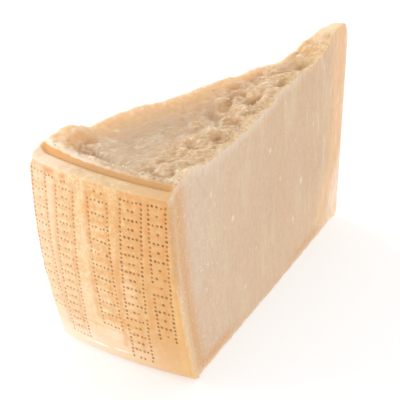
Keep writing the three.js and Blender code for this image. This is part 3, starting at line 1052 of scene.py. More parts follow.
# How far behind the kerf the rim is pale, by share of the way across.
RIM_PALE_REACH = [(0, 4.6), (0.1, 3.4), (0.19, 1.3), (0.35, 1.4), (0.5, 1.0), (0.85, 0.9), (1, 2.0)]
RIGHT_RIM_REACH = 2.4
TOP_FROM = 97.0

on_top = z > TOP_FROM
for label, field in (("crease", sunk), ("pocket", pockets)):
    numbers[label] = np.where(on_top, np.clip(sample_relief(field, points), -1, 1), 0)
numbers["crumbly"] = np.where(on_top, crumbliness(x, y), 0)
numbers["streak"] = streak(x, y)
numbers["glow"] = np.clip(1 - from_left(x, y) / eased_line(GLOW_WIDTH, from_tip), 0, 1)
behind_rim = from_rind - RIM_MIDDLE
rim_reach = np.where(behind_rim > 0, eased_line(RIM_PALE_REACH, across), RIM_FRONT_REACH)
numbers["pale_rim"] = bell(behind_rim / rim_reach)
numbers["right_rim"] = bell(from_left(-x, y) / RIGHT_RIM_REACH)
torn_edge = top_point(1, travel_fine)[:, 2]
numbers["under_edge"] = np.interp(from_rind, inward_of(travel_fine), torn_edge) - z
print(f"{np.mean(numbers['crease'][on_top] > 0.3):.0%} of the top's points lie in a crease")

# %% Measure the amber spots of the torn top, painted shade and glow
# x, y and reach of each amber spot: painted shade in a crease or pocket, painted glow on the thin left edge,
# partly the paste's own tone.
AMBER_PLACES = [
    (-33, -194, 2.4), (-24, -193, 3.0), (-19.5, -197, 1.8), (-21.5, -188.5, 2.0), (-14, -195, 2.2),
    (-23, -191, 2.8), (-25, -184, 2.6), (-27, -188, 1.8), (-25.5, -196, 1.6), (37, -197, 2.6),
    (23, -193.5, 2.2), (27, -187, 3.0), (-20, -183, 3.0), (4, -49, 4.5), (1, -60, 5.0),
    (10, -77, 3.5), (-9, -76, 3.0), (21, -131, 3.0), (10, -99, 4.5), (-1, -106, 4.5), (0, -116, 4.0),
    (12, -119, 4.5), (-7, -91, 4.0), (20, -140, 4.0), (13, -154, 3.5), (6, -137, 3.0),
    (15, -177, 3.5), (-2, -96, 3.5), (17, -108, 3.0), (-4, -31, 2.6), (2, -22, 2.4), (-4, -42, 3.0),
]
PLACE_SWAY = 1.5

for label, places in (("amber", AMBER_PLACES), ("chalky", CHALKY_PLACES)):
    full = [(*place[:3], 1) for place in places]
    numbers[label] = strongest(*swayed(x, y, PLACE_SWAY), full)
    print(f"{len(full)} {label} places")

# %% Turn the skin into a mesh
def mesh_piece(name, points_mm, triangles, numbers):
    mesh = bpy.data.meshes.new(name)
    mesh.from_pydata(((points_mm + AXIS_PLACE) * MM).tolist(), [], triangles.tolist())
    for label, values in numbers.items():
        slot = mesh.attributes.new(label, "FLOAT", "POINT")
        slot.data.foreach_set("value", values.astype(np.float32))
    mesh.shade_smooth()
    piece = bpy.data.objects.new(name, mesh)
    bpy.context.scene.collection.objects.link(piece)
    return piece


cheese = mesh_piece("cheese_skin", points, faces, numbers)
print("skin spans", [round(v * 1000, 1) for v in cheese.dimensions], "mm")

# %% [markdown]
# ## Crumbs
# Where paste tore, small crumbs stay behind. Each is a rough pebble: a small ball of 20
# triangles split once, with its points pushed in and out by chance. They could be instanced,
# but a joined mesh keeps them through any export. Each one sits almost half deep in the ground.

# %% Shape of one crumb
CRUMB_SUNK = 0.42
CRUMB_ROUGHNESS = 0.2
CRUMB_SQUASH = (0.6, 1.1)

crumb_rng = np.random.default_rng(12)


def pebble():
    ball = bmesh.new()
    bmesh.ops.create_icosphere(ball, subdivisions=2, radius=1)
    corners = np.array([v.co[:] for v in ball.verts])
    triangles = np.array([[v.index for v in f.verts] for f in ball.faces])
    ball.free()
    return corners, triangles


pebble_corners, pebble_faces = pebble()


def crumb(x, y, size):
    spot = np.array([x]), np.array([y])
    ground = break_height(*spot) + fine_relief(*spot)
    squash = crumb_rng.uniform(*CRUMB_SQUASH, 3)
    rough = 1 + CRUMB_ROUGHNESS * crumb_rng.uniform(-1, 1, (len(pebble_corners), 1))
    shape = pebble_corners * rough * squash * size
    turn = crumb_rng.uniform(0, 2 * math.pi)
    spin = np.array([[math.cos(turn), -math.sin(turn), 0], [math.sin(turn), math.cos(turn), 0], [0, 0, 1]])
    return shape @ spin + [x, y, ground[0] + size * (1 - 2 * CRUMB_SUNK) * squash[2]]


print(f"each crumb has {len(pebble_faces)} triangles")

# %% Scatter crumbs over the torn top
CRUMB_COUNT = 110
CRUMB_SIZE = (0.35, 0.9)
CRUMB_CLEAR = 2.5
CRUMB_CLEAR_OF_RIM = 1.5
CRUMB_FIELD_X = (-38, 38)
CRUMB_FIELD_Y = (-198, -55)
CRUMBS_ON_SMOOTH = 0.006
RIM_CRUMB_COUNT = 40
RIM_CRUMB_SIZE = (0.3, 0.8)
RIM_CRUMBS_ASIDE = (-0.9, 0.9)
RIM_CRUMBS_BEHIND = (0.8, 4.5)


def crumb_spots():
    spots, rim = [], WHEEL_RADIUS - BREAK_START
    while len(spots) < CRUMB_COUNT:
        x, y = crumb_rng.uniform(*CRUMB_FIELD_X), crumb_rng.uniform(*CRUMB_FIELD_Y)
        likely = mix(CRUMBS_ON_SMOOTH, 1, crumbliness(np.array([x]), np.array([y]))[0])
        on_break = from_cuts(x, y) > CRUMB_CLEAR and math.hypot(x, y) < rim - CRUMB_CLEAR_OF_RIM
        if on_break and crumb_rng.uniform() < likely:
            spots.append((x, y, mix(*CRUMB_SIZE, crumb_rng.uniform() ** 3)))
    while len(spots) < CRUMB_COUNT + RIM_CRUMB_COUNT:
        turn = crumb_rng.uniform(*RIM_CRUMBS_ASIDE) * HALF_ANGLE
        reach = rim - crumb_rng.uniform(*RIM_CRUMBS_BEHIND)
        size = mix(*RIM_CRUMB_SIZE, crumb_rng.uniform() ** 2)
        spots.append((reach * math.sin(turn), -reach * math.cos(turn), size))
    return spots


crumb_points, crumb_faces = [], []
for number, (x, y, size) in enumerate(crumb_spots()):
    crumb_points.append(crumb(x, y, size))
    crumb_faces.append(pebble_faces + number * len(pebble_corners))
crumbs = mesh_piece("crumbs", np.concatenate(crumb_points), np.concatenate(crumb_faces), {})
print(f"{len(crumb_points)} crumbs in {len(crumbs.data.polygons)} triangles")

# %% [markdown]
# ## A small kit for finishes
# Every finish below is put together from the same few steps: a number stored on the points,
# a noise of a real size, a smooth switch between two values, a blend of two colours. They
# could be wired by hand in the shader editor, but naming each step once keeps every finish
# short enough to read as a recipe.

# %% Nodes of a material
def tone(code):
    """A screen colour such as "e2c4a4" as the linear colour that a shader wants."""
    screen = np.array([int(code[k:k + 2], 16) for k in (0, 2, 4)]) / 255
    linear = np.where(screen <= 0.04045, screen / 12.92, ((screen + 0.055) / 1.055) ** 2.4)
    return (*linear, 1.0)


class Nodes:
    def __init__(self, name):
        self.material = bpy.data.materials.new(name)
        self.material.use_nodes = True
        self.tree = self.material.node_tree
        self.shader = self.tree.nodes["Principled BSDF"]
        self.place = self.node("ShaderNodeTexCoord").outputs["Object"]

    def node(self, kind, **settings):
        made = self.tree.nodes.new(kind)
        for name, value in settings.items():
            setattr(made, name, value)
        return made

    def feed(self, socket, value):
        if isinstance(value, bpy.types.NodeSocket):
            self.tree.links.new(value, socket)
        else:
            socket.default_value = value

    def number(self, label):
        return self.node("ShaderNodeAttribute", attribute_name=label).outputs["Fac"]

    def noise(self, size_mm, detail=2.0, stretch=(1, 1, 1), shift=0.0):
        placed = self.node("ShaderNodeMapping")
        self.feed(placed.inputs["Vector"], self.place)
        placed.inputs["Scale"].default_value = [1 / (size_mm * MM * s) for s in stretch]
        placed.inputs["Location"].default_value = (shift, shift, shift)
        made = self.node("ShaderNodeTexNoise")
        self.feed(made.inputs["Vector"], placed.outputs["Vector"])
        made.inputs["Scale"].default_value = 1.0
        made.inputs["Detail"].default_value = detail
        return made.outputs["Fac"]

    def switch(self, value, start, end, low=0.0, high=1.0):
        """Goes smoothly from low to high while the value goes from start to end."""
        made = self.node("ShaderNodeMapRange", interpolation_type="SMOOTHSTEP")
        for socket, given in zip(made.inputs, (value, start, end, low, high)):
            self.feed(socket, given)
        return made.outputs["Result"]

    def calc(self, operation, first, *others):
        """One kind of sum over two or more values, from left to right."""
        for other in others:
            made = self.node("ShaderNodeMath", operation=operation)
            self.feed(made.inputs[0], first)
            self.feed(made.inputs[1], other)
            first = made.outputs["Value"]
        return first

    def blend(self, share, low, high):
        made = self.node("ShaderNodeMix", data_type="RGBA")
        self.feed(made.inputs["Factor"], share)
        self.feed(made.inputs["A"], tone(low) if isinstance(low, str) else low)
        self.feed(made.inputs["B"], tone(high) if isinstance(high, str) else high)
        return made.outputs["Result"]


def steps_of(kit):
    return ", ".join(step for step in vars(kit) if not step.startswith("_"))


print("nodes can be made by:", steps_of(Nodes))

# %% Steps of a finish
# How far red, green and blue light travel in the paste, as shares of its depth of light.
LIGHT_SPREAD = (1.0, 0.55, 0.3)


class Finish(Nodes):
    def __init__(self, name, roughness, depth_of_light, share_of_light):
        super().__init__(name)
        self.shader.inputs["Roughness"].default_value = roughness
        self.shader.inputs["Subsurface Weight"].default_value = share_of_light
        self.shader.inputs["Subsurface Scale"].default_value = depth_of_light * MM
        self.shader.inputs["Subsurface Radius"].default_value = LIGHT_SPREAD

    def where(self, label, start, end, low=0.0, high=1.0):
        return self.switch(self.number(label), start, end, low, high)

    def times(self, *values):
        return self.calc("MULTIPLY", *values)

    def most(self, *values):
        return self.calc("MAXIMUM", *values)

    def patch(self, size_mm, start, end, share=1.0, detail=3.0, stretch=(1, 1, 1), shift=0.0):
        """Soft patches, where a noise of this size goes from start to end."""
        return self.switch(self.noise(size_mm, detail, stretch, shift), start, end, 0.0, share)

    def wobble(self, size_mm, reach, detail=2.0, stretch=(1, 1, 1), shift=0.0):
        noise = self.noise(size_mm, detail, stretch, shift)
        return self.times(self.calc("SUBTRACT", noise, 0.5), reach)

    def stretch_of(self, value, starts, stops):
        """All of it between two places, with a soft start and a soft stop."""
        return self.times(self.switch(value, *starts), self.switch(value, *stops))

    def stripe(self, value, middle, outer, inner, share=1.0):
        """A soft line round a middle: nothing beyond outer, its full share within inner."""
        away = self.calc("ABSOLUTE", self.calc("SUBTRACT", value, middle), 0.0)
        return self.switch(away, outer, inner, 0.0, share)

    def coats(self, colour, *coats):
        """Lays thin coats over a colour, one after another, each with its share and its tone."""
        for share, code in coats:
            colour = self.blend(share, colour, code)
        return colour

    def bands(self, value, span, stops):
        made = self.node("ShaderNodeValToRGB")
        self.feed(made.inputs["Fac"], self.calc("DIVIDE", value, span))
        ramp = made.color_ramp.elements
        while len(ramp) < len(stops):
            ramp.new(0.5)
        for element, (place, code) in zip(ramp, stops):
            element.position = place / span
            element.color = tone(code)
        return made.outputs["Color"]

    def finished(self, colour, height, reach_mm, strength):
        """Hands over the colour, and a height that tilts the light by up to its reach."""
        made = self.node("ShaderNodeBump")
        made.inputs["Strength"].default_value = strength
        made.inputs["Distance"].default_value = reach_mm * MM
        self.feed(made.inputs["Height"], height)
        self.feed(self.shader.inputs["Normal"], made.outputs["Normal"])
        self.feed(self.shader.inputs["Base Color"], colour)
        print(f"{self.material.name} is made of {len(self.tree.nodes)} nodes")


print("steps of a finish:", steps_of(Finish))

# %% [markdown]
# ## The paste
# Aged paste is pale beige with large soft clouds, and lets light in for a few millimetres, so
# the thin tip glows; that glow is also painted into the colour as painted light. The cut faces
# show it as the wire left it. One plain colour would look like plastic, so it changes with the
# distance from the tip, the height and a few slow noises.

# %% Colour of the paste
# Each pair runs from where a tone sets in to where it is full, from the tip or in height.
BODY_BEHIND_TIP = (60, 200)
TIP_LOW_DOWN = (45, 18)
TIP_GLOW = (28, 14)
TIP_PALEST = (8, -4)
TIP_RAGGED = 9.0
FOOT_GLOW_HEIGHTS = (50, 5)
FOOT_GLOW_REACH = 18.0
FOOT_PALE_HEIGHTS = (17, 2)
FOOT_PALE_NEAR_TIP = (55, 25)


def paste_colour(finish):
    near_tip = finish.blend(finish.where("height", *TIP_LOW_DOWN), "d3ad86", "dbb892")
    plain = finish.blend(finish.where("from_tip", *BODY_BEHIND_TIP), near_tip, "dabfa2")
    pinker = finish.patch(26, 0.42, 0.66, 0.55, detail=2, stretch=(1, 1, 2.6))
    yellower = finish.patch(17, 0.5, 0.7, 0.5, detail=2, stretch=(1, 1, 2.4), shift=5)
    uneven = finish.wobble(14, TIP_RAGGED, shift=2)
    # Painted light: the thin tip is painted pale and warm, as light shining through it; at its foot the glow
    # reaches further.
    foot = finish.where("height", *FOOT_GLOW_HEIGHTS, 0, FOOT_GLOW_REACH)
    reach = finish.calc("SUBTRACT", finish.calc("ADD", finish.number("from_tip"), uneven), foot)
    glowing = finish.blend(finish.switch(reach, *TIP_PALEST), "edbf8c", "fbe6ca")
    pale_foot = finish.where("height", *FOOT_PALE_HEIGHTS, 0, 0.5)
    return finish.coats(
        plain,
        (pinker, "d9b493"),
        (yellower, "dfc79d"),
        (finish.switch(reach, *TIP_GLOW, 0, 0.9), glowing),
        (finish.times(pale_foot, finish.where("from_tip", *FOOT_PALE_NEAR_TIP)), "f9daae"),
    )


print(f"the tip glows over its last {TIP_GLOW[0]} mm, and {FOOT_GLOW_REACH:.0f} mm further at its foot")

# %% [markdown]
# ## Cut faces
# The wire leaves them smooth. Under the rind the paste has dried: a bright yellow strip, then
# an amber one, which fades into the body. Along the base the same happens, but weaker. The
# ripened paste also carries a few small pale spots, scattered without order. Painting all this
# by hand would need an image; each point's depth under the rind gives it with a row of stops.

# %% Bands of the cut faces
# Depth under the rind and tone of each stop.
BAND_SPAN = 24.0
BAND_STOPS = [
    (0.0, "eebf78"), (1.5, "ebc38f"), (3.5, "e5c297"), (5.5, "e1b688"), (7.5, "d9a871"),
    (9.5, "d8a36d"), (11.5, "d8a775"), (13.5, "daae82"), (15.5, "dbb38c"), (19.0, "dbb894"),
]
BAND_UNEVEN = 2.6
# Each pair runs from where the bands set in to where they are full.
BANDS_FADE = (20, 13)
BANDS_NEAR_RIND = (130, 166)
BANDS_START_BEHIND_TIP = (20, 42)
BANDS_STOP_BEHIND_TIP = (85, 55)
OUTER_STRIP = (7, 2)
OUTER_STRIP_HEIGHTS = (44, 64)

cut = Finish("cut_paste", roughness=0.5, depth_of_light=5.0, share_of_light=0.5)
from_tip = cut.number("from_tip")
depth = cut.calc("ADD", cut.number("rind_depth"), cut.wobble(11, BAND_UNEVEN, 3, stretch=(1, 1, 2)))
behind_tip = cut.times(cut.stretch_of(from_tip, BANDS_STOP_BEHIND_TIP, BANDS_START_BEHIND_TIP), 0.7)
banded_here = cut.most(cut.switch(from_tip, *BANDS_NEAR_RIND, 0.08, 1), behind_tip)
outer_strip = cut.times(cut.switch(depth, *OUTER_STRIP), cut.where("height", *OUTER_STRIP_HEIGHTS), 0.85)
streaks = cut.noise(5, 2, stretch=(1, 1, 6))
banded = cut.coats(
    paste_colour(cut),
    (cut.switch(streaks, 0.4, 0.7, 0, 0.2), "d2b08d"),
    (cut.times(cut.switch(depth, *BANDS_FADE), banded_here), cut.bands(depth, BAND_SPAN, BAND_STOPS)),
    (outer_strip, "cf9c64"),
)
print(f"{len(BAND_STOPS)} tones lie within {BAND_STOPS[-1][0]:.0f} mm of the rind")

# %% Streaks, spots and fringe of the cut faces
# Each pair runs from where a tone sets in to where it is full, as all pairs below do.
STREAKED_NEAR_TIP = (75, 30)
SPECKS_NEAR_RIND = (140, 175)
FRINGE_BELOW_EDGE = (6, 0.5)
FRINGE_BEHIND_TIP = (40, 80)
FRINGE_ACROSS = (0.4, 0.6)

pale_streaks = cut.patch(3, 0.56, 0.7, 0.4, detail=2, stretch=(1, 1, 6), shift=11)
below_edge = cut.where("under_edge", *FRINGE_BELOW_EDGE, 0, 0.5)
on_right = cut.where("across", *FRINGE_ACROSS)
soft_spots = cut.patch(3.2, 0.72, 0.82, 0.35, detail=1, stretch=(1, 1, 1.4), shift=7)
speckled = cut.calc("ADD", cut.noise(1.1, 0, shift=3), cut.switch(from_tip, *SPECKS_NEAR_RIND, 0, 0.06))
specks = cut.switch(speckled, 0.77, 0.84, 0, 0.55)
spotted = cut.coats(
    banded,
    (cut.times(pale_streaks, cut.switch(from_tip, *STREAKED_NEAR_TIP)), "f2dcc0"),
    (cut.times(below_edge, cut.switch(from_tip, *FRINGE_BEHIND_TIP), on_right), "e6d8c4"),
    (cut.patch(1.3, 0.4, 0.62, 0.14, detail=4, stretch=(1, 1, 1.6), shift=19), "eedbc6"),
    (cut.patch(2.2, 0.44, 0.66, 0.26, stretch=(1, 1, 2.5), shift=23), "c9a27c"),
    (cut.most(soft_spots, cut.where("spot", 0.3, 0.8, 0, 0.5), specks), "f3e4d2"),
)
cut.finished(spotted, cut.calc("ADD", cut.times(streaks, 0.15), cut.noise(0.9, 3)), 0.25, 0.45)

# %% [markdown]
# ## The torn top
# The creases between grains are painted dark, as painted shade, and the grains' tops pale, as
# painted highlight. Along the left edge the paste is thin and lets light through, and that glow
# is painted into the colour, through tan into the plain ground. Painted glints stand for broken
# crystals catching the light. Each of these is one thin coat over the last, so any of them can
# be made weaker or left out without touching the others.

# %% Ground of the break
# Size, shift, start, end, share and tone of the patches in the crumbly ground.
GROUND_PATCHES = [
    (2.6, 13.0, 0.5, 0.64, 0.5, "c0945c"), (3.4, 21.0, 0.54, 0.7, 0.45, "d9a270"),
    (1.8, 27.0, 0.5, 0.64, 0.5, "e6d1b0"),
]
# The same for the ground that split smoothly.
CALM_PATCHES = [
    (5.5, 31.0, 0.45, 0.62, 0.5, "dbb692"), (3.4, 35.0, 0.5, 0.64, 0.5, "c2a078"),
    (2.4, 39.0, 0.54, 0.66, 0.5, "e9d6bb"), (9.0, 43.0, 0.42, 0.6, 0.4, "c8a880"),
]
CALM_STRETCH = (1, 2.2, 1)

torn = Finish("torn_paste", roughness=0.5, depth_of_light=4.0, share_of_light=0.6)
grainy = torn.noise(1.3, 4)
calm = torn.where("crumbly", 0.5, 0)
rough = torn.where("crumbly", 0, 0.6, 0.3, 1)
light_streaks = torn.where("streak", -0.25, 0.35, 0, 0.5)
fibres = torn.patch(1.3, 0.4, 0.64, 0.5, stretch=(1, 4, 1), shift=15)
ground = torn.coats(
    torn.blend(torn.number("crumbly"), "cdb090", "cca77c"),
    (torn.times(light_streaks, calm), "dcc5a8"),
    (torn.times(fibres, calm), "b99573"),
    (torn.patch(5, 0.4, 0.7, 0.4), "dac3a2"),
    (torn.switch(grainy, 0.45, 0.7, 0, 0.25), "bf9668"),
)
for patches, place, stretch in ((GROUND_PATCHES, rough, (1, 1, 1)), (CALM_PATCHES, calm, CALM_STRETCH)):
    for size, shift, start, end, share, code in patches:
        patch = torn.patch(size, start, end, share, stretch=stretch, shift=shift)
        ground = torn.blend(torn.times(patch, place), ground, code)
print(f"{len(GROUND_PATCHES + CALM_PATCHES)} kinds of patches in the ground of the break")

# %% Painted glow of the thin left edge and the tip
# Share of the glow and tone of each stop.
GLOW_SPAN = 1.0
GLOW_STOPS = [
    (0.0, "cbb08f"), (0.24, "cdab87"), (0.4, "d4b08d"), (0.55, "deb58b"), (0.69, "e7bd8e"),
    (0.79, "efc48f"), (0.88, "f3cc97"), (0.98, "f7dfbb"),
]
GLOW_RAGGED = 0.45
WARMER_NEAR_TIP = (98, 62)
CREAMY_TIP = (54, 26)
ORANGE_BEHIND_TIP = (16, 36)

# Painted light: the glow of light through the thin left edge and the tip is laid into the colour.
glow = torn.number("glow")
glow_tones = torn.bands(torn.calc("ADD", glow, torn.wobble(2.6, GLOW_RAGGED, 4)), GLOW_SPAN, GLOW_STOPS)
tip_orange = torn.blend(torn.where("from_tip", *ORANGE_BEHIND_TIP), "f7d9b6", "e6b67c")
tip_cream = torn.blend(torn.patch(1.9, 0.44, 0.62, stretch=(1, 2, 1), shift=4), tip_orange, "f4d9b2")
# Painted shade in the creases and pockets, and painted glow where the edge is thin.
amber_shade_share = torn.switch(torn.noise(2.4, 2, shift=6), 0.3, 0.6, 0.3, 0.8)
amber_shade = torn.blend(torn.switch(glow, 0.3, 0.7), "b98a58", "edb070")
glowing = torn.coats(
    ground,
    (torn.where("from_tip", *WARMER_NEAR_TIP, 0, 0.4), "d5a669"),
    (torn.switch(glow, 0, 0.3, 0, 0.85), glow_tones),
    (torn.where("from_tip", *CREAMY_TIP, 0, 0.95), tip_cream),
    (torn.times(torn.number("amber"), amber_shade_share), amber_shade),
)
print(f"the tip turns creamy {CREAMY_TIP[0]} mm from its end")

# %% Painted crease shade, rims, crystals and glints of the break
RIM_PALE_ACROSS = (0.78, 0.2)

# Painted shade: creases and pockets are darkened in the colour, less so on the thin glowing edge.
dark = torn.most(torn.where("crease", 0.1, 0.9, 0, 0.58), torn.where("pocket", 0.1, 0.9, 0, 0.45))
thick = torn.switch(glow, 0.55, 0.9, 1, 0.35)
broken = torn.switch(torn.noise(1.8, 3, shift=17), 0.36, 0.62, 0.1, 0.8)
rim_share = torn.where("across", *RIM_PALE_ACROSS, 0.08, 0.95)
sparkling = torn.coats(
    glowing,
    (torn.times(dark, thick), torn.blend(glow, "a57a4b", "d0924f")),
    # Painted highlight: grain tops that stand above the blurred height are painted pale.
    (torn.where("crease", -0.1, -0.7, 0, 0.55), "ecd7b6"),
    # Painted highlight along the right torn edge, broken up by noise.
    (torn.times(torn.number("right_rim"), broken), "e6cfa5"),
    (torn.times(torn.number("chalky"), broken), "f3e2ca"),
    # The rim behind the kerf is painted pale: partly the dry paste's tone, partly painted highlight,
    # strongest on the left.
    (torn.times(torn.number("pale_rim"), rim_share), "fce9d2"),
    # The kerf's amber, partly painted shade of the groove.
    (torn.number("kerf"), "e8ab66"),
    # Painted highlight: small near-white glints stand for crystals catching the light.
    (torn.patch(0.9, 0.83, 0.88, 0.8, detail=0, shift=9), "fff6e8"),
)
torn.finished(sparkling, torn.calc("ADD", grainy, torn.noise(0.45, 2)), 0.25, 0.35)

# %% [markdown]
# ## The scored ring
# The lip is pale dry paste that the knife laid bare. The kerf's walls were pressed smooth by the
# blade; their amber is partly the tone of the paste there and partly painted shade of the narrow
# groove. They could be a patch of their own, but a number on the points lets the amber fade
# where the kerf closes.

# %% Finish of the scored ring
# Each pair runs across the ring, from where a tone sets in to where it is full.
LIP_PALE_LEFT = (0.45, 0.08)
LIP_DARK_RIGHT = (0.6, 0.95)
KERF_BRIGHT_LEFT = (0.1, 0.5)

ring = Finish("scored_ring", roughness=0.4, depth_of_light=3.0, share_of_light=0.35)
lip = ring.coats(
    ring.blend(ring.patch(6, 0.35, 0.7), "e2c195", "d6b181"),
    (ring.patch(2.2, 0.48, 0.64, 0.5, detail=4, shift=4), "eed9b4"),
    (ring.where("across", *LIP_PALE_LEFT, 0, 0.95), "f5dabd"),
    (ring.where("across", *LIP_DARK_RIGHT, 0, 0.85), "dab07b"),
)
# The kerf's amber: partly the paste's tone, partly painted shade of the groove.
amber = ring.blend(ring.where("across", *KERF_BRIGHT_LEFT), "eaaf69", "ca9b63")
amber = ring.blend(ring.noise(4, 2, stretch=(3, 3, 1)), amber, "d3a064")
ring.finished(ring.blend(ring.number("kerf"), lip, amber), ring.noise(0.8, 3), 0.2, 0.4)

# %% [markdown]
# ## The rind
# The rind is the cheese's own dried and oiled skin: golden orange and mottled, with a dull waxy
# gloss. It is painted paler on the left, partly its own tone and partly painted light from that
# side, and paler low down and at the foot, as painted light against the shade by the floor. Each
# pierced dot is scorched brown and stands in a faint orange halo, and a painted highlight, a pale
# line where the gloss catches a light, runs just above the base. A varnished picture would do for
# one side; coats of noise in three dimensions wrap round the edges too.

# %% Mottled gold of the rind
RIGHT_TONE = (0.5, 0.95)
LEFT_TONE = (0.5, 0)
PALE_LOW_HEIGHTS = (26, 8)
PALE_LOW_ACROSS = (0.95, 0.4)
FOOT_TONE_HEIGHTS = (15, 4)

rind = Finish("waxy_rind", roughness=0.42, depth_of_light=2.0, share_of_light=0.2)
across, height = rind.number("across"), rind.number("height")
# Partly painted light: the left side, toward the lamp, is painted paler.
leftward = rind.switch(across, *LEFT_TONE, 0, 0.75)
# Painted paler low down: partly the rind's own tone, partly painted light that offsets the shade near the
# floor.
low = rind.switch(height, *PALE_LOW_HEIGHTS, 0, 0.65)
low = rind.times(low, rind.switch(across, *PALE_LOW_ACROSS, 0.2, 1))
golden = rind.coats(
    rind.blend(rind.patch(9, 0.35, 0.68, detail=4), "e5c48f", "dcb178"),
    (rind.patch(2.6, 0.45, 0.64, 0.55, detail=4, shift=3), "e7a05a"),
    (rind.patch(1.2, 0.46, 0.64, 0.62, detail=4, shift=6), "f1dab0"),
    (rind.times(rind.number("rusty"), 0.5), "e3a25e"),
    (rind.patch(6, 0.5, 0.64, 0.4, shift=12), "dd9f56"),
    (rind.patch(5, 0.52, 0.66, 0.4, shift=18), "f0d5a6"),
    (rind.switch(across, *RIGHT_TONE, 0, 0.75), "d8a567"),
    (rind.most(rind.times(rind.number("faded"), 0.5), leftward), "f3dab8"),
    (low, "f3dec6"),
    # Painted light: the foot is painted nearly white, to offset the shade where it faces the floor.
    (rind.switch(height, *FOOT_TONE_HEIGHTS, 0, 0.9), rind.blend(across, "f6e7d0", "e2b57e")),
)
print(f"the rind is paler below {PALE_LOW_HEIGHTS[0]} mm")

# %% Dots, lines, painted highlight and edge of the rind
HAIRLINE_HEIGHT = 20.5
HAIRLINE_STARTS = (0.12, 0.2)
HAIRLINE_STOPS = (0.64, 0.56)
HIGHLIGHT_HEIGHT = 5.9
HIGHLIGHT_HALF_HEIGHT = 1.0
HIGHLIGHT_CLIMB = 4.4
HIGHLIGHT_STARTS = (0.1, 0.42)
HIGHLIGHT_STOPS = (0.66, 0.56)
BARE_EDGE = (0.99, 1.02)
BARE_RAGGED = 0.06
DOT_TONES_ACROSS = (0.15, 0.95)

hairline_ends = rind.stretch_of(across, HAIRLINE_STARTS, HAIRLINE_STOPS)
hairline = rind.times(rind.stripe(height, HAIRLINE_HEIGHT, 0.6, 0.1, 0.4), hairline_ends)
dot_tone = rind.blend(rind.switch(across, *DOT_TONES_ACROSS), "c28446", "8f4f08")
dot_tone = rind.blend(rind.patch(4, 0.42, 0.62, 0.6, detail=2, shift=25), dot_tone, "cc8a46")
bare = rind.calc("ADD", across, rind.wobble(5, BARE_RAGGED, 4, shift=1))
# Painted highlight: a pale line just above the base, where the gloss of the rounded foot catches a light; it
# climbs a little to the right.
highlight_at = rind.calc("ADD", rind.times(across, HIGHLIGHT_CLIMB), HIGHLIGHT_HEIGHT)
painted_highlight = rind.stripe(height, highlight_at, HIGHLIGHT_HALF_HEIGHT, 0.2)
highlight_breakup = rind.patch(4, 0.38, 0.6, stretch=(2, 2, 0.5), shift=8)
dotted = rind.coats(
    golden,
    (hairline, "d9a066"),
    (rind.times(rind.number("smudge"), 0.65), "dd8c40"),
    (rind.number("scorch"), "d58a38"),
    (rind.where("pierced", 0.35, 0.9, 0, 0.95), dot_tone),
    (rind.switch(bare, *BARE_EDGE, 0, 0.85), "ebba76"),
    (rind.times(painted_highlight, highlight_breakup, rind.stretch_of(across, HIGHLIGHT_STARTS, HIGHLIGHT_STOPS)), "fff4e6"),
)
rind.finished(dotted, rind.calc("ADD", rind.noise(1.6, 3), rind.times(rind.noise(0.5, 2), 0.5)), 0.3, 0.5)

# %% [markdown]
# ## Dress the skin
# Each triangle knows which patch it came from, and so takes the right finish. The patches
# could be separate objects, but as one skin they leave no seam for light to leak through. The
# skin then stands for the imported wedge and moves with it.

# %% Give each patch its finish
crumb_paste = Finish("crumb_paste", roughness=0.5, depth_of_light=1.5, share_of_light=0.3)
crumb_colour = crumb_paste.blend(crumb_paste.noise(2, 2), "e0bf97", "f4e0c2")
crumb_paste.finished(crumb_colour, crumb_paste.noise(0.5, 2), 0.15, 0.5)

FINISHES = {"rind": rind, "ring": ring, "break": torn, "cut": cut}
for kind in KINDS:
    cheese.data.materials.append(FINISHES[kind].material)
cheese.data.polygons.foreach_set("material_index", face_kinds.astype(np.int32))
cheese.data.update()
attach(cheese, "root")
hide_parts(WEDGE)

crumbs.data.materials.append(crumb_paste.material)
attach(crumbs, "root")

# %% [markdown]
# ## Light, floor and camera
# A white surrounding and a light table, a floor that also glows a little from below, give the
# soft, nearly shadowless light of a pack shot. Lamps alone would leave hard shadows. Three weak
# ones only shape the form: a broad one from the front left models the barrel of the rind and
# gives the wax its gloss, one from behind lights the left edge, and a low one lifts the foot.

# %% Floor
FLOOR_HALF = 3.0
FLOOR_TONE = "c0c0c0"
FLOOR_ROUGHNESS = 0.9
FLOOR_GLOW = 0.5
WHITE = (1, 1, 1, 1)

floor_mesh = bpy.data.meshes.new("floor")
corners = [(x * FLOOR_HALF, y * FLOOR_HALF, 0) for x, y in ((-1, -1), (1, -1), (1, 1), (-1, 1))]
floor_mesh.from_pydata(corners, [], [(0, 1, 2, 3)])
floor = bpy.data.objects.new("floor", floor_mesh)
bpy.context.scene.collection.objects.link(floor)
floor_finish = bpy.data.materials.new("pale_floor")
floor_finish.use_nodes = True
floor_shader = floor_finish.node_tree.nodes["Principled BSDF"]
floor_shader.inputs["Base Color"].default_value = tone(FLOOR_TONE)
floor_shader.inputs["Roughness"].default_value = FLOOR_ROUGHNESS
floor_shader.inputs["Emission Color"].default_value = WHITE
floor_shader.inputs["Emission Strength"].default_value = FLOOR_GLOW
floor_mesh.materials.append(floor_finish)
print(f"floor of {2 * FLOOR_HALF:.0f} by {2 * FLOOR_HALF:.0f} metres")

# %% Light
SURROUNDING_LIGHT = 0.98
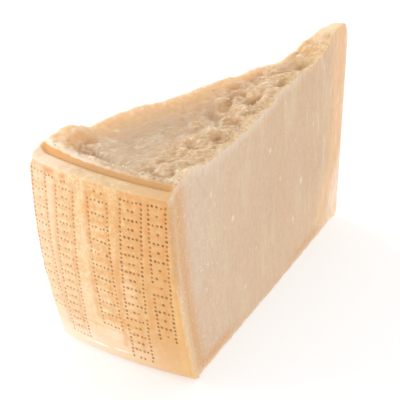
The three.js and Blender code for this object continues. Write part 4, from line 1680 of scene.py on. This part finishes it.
# Place, aim and size in metres, and power in watts, of each lamp.
LAMPS = {
    "key_lamp": ((-0.8, -0.75, 0.4), (0, -0.03, 0.05), 0.5, 2.2),
    "edge_lamp": ((-1.0, 0.35, 0.45), (0, 0, 0.1), 0.5, 2.5),
    "foot_lamp": ((0.15, -0.95, 0.13), (0, -0.1, 0.02), 0.7, 1.0),
}

world = bpy.data.worlds.new("white_surrounding")
bpy.context.scene.world = world
world.use_nodes = True
world.node_tree.nodes["Background"].inputs["Color"].default_value = WHITE
world.node_tree.nodes["Background"].inputs["Strength"].default_value = SURROUNDING_LIGHT
bpy.context.scene.view_settings.view_transform = "Standard"


def lamp(name, place, aim, size, power):
    light = bpy.data.lights.new(name, "AREA")
    light.size = size
    light.energy = power
    holder = bpy.data.objects.new(name, light)
    holder.location = place
    holder.rotation_euler = (Vector(aim) - Vector(place)).to_track_quat("-Z", "Y").to_euler()
    bpy.context.scene.collection.objects.link(holder)


for name, settings in LAMPS.items():
    lamp(name, *settings)
print(f"{len(LAMPS)} lamps and a white surrounding")

# %% Camera
# The aim and the distance are in millimetres.
CAMERA_AIM = np.array([-19.04, -102.55, 42.28]) + AXIS_PLACE
CAMERA_DISTANCE = 903.6
CAMERA_AZIMUTH = math.radians(35.80)
CAMERA_ELEVATION = math.radians(25.90)
CAMERA_ROLL = math.radians(0.168)
CAMERA_LENS = 164.35
CAMERA_SENSOR = 36.0

back = np.array([
    math.sin(CAMERA_AZIMUTH) * math.cos(CAMERA_ELEVATION),
    -math.cos(CAMERA_AZIMUTH) * math.cos(CAMERA_ELEVATION),
    math.sin(CAMERA_ELEVATION),
])
camera_data = bpy.data.cameras.new("camera")
camera_data.lens = CAMERA_LENS
camera_data.sensor_width = CAMERA_SENSOR
camera = bpy.data.objects.new("camera", camera_data)
turn = Vector(back).to_track_quat("Z", "Y").to_matrix() @ Matrix.Rotation(CAMERA_ROLL, 3, "Z")
camera.matrix_world = Matrix.Translation(Vector((CAMERA_AIM + back * CAMERA_DISTANCE) * MM)) @ turn.to_4x4()
bpy.context.scene.collection.objects.link(camera)
bpy.context.scene.camera = camera
print("camera stands at", [round(v, 3) for v in camera.matrix_world.translation], "metres")

# %% [markdown]
# The dressed cheese has to stay inside the imported wedge's box.
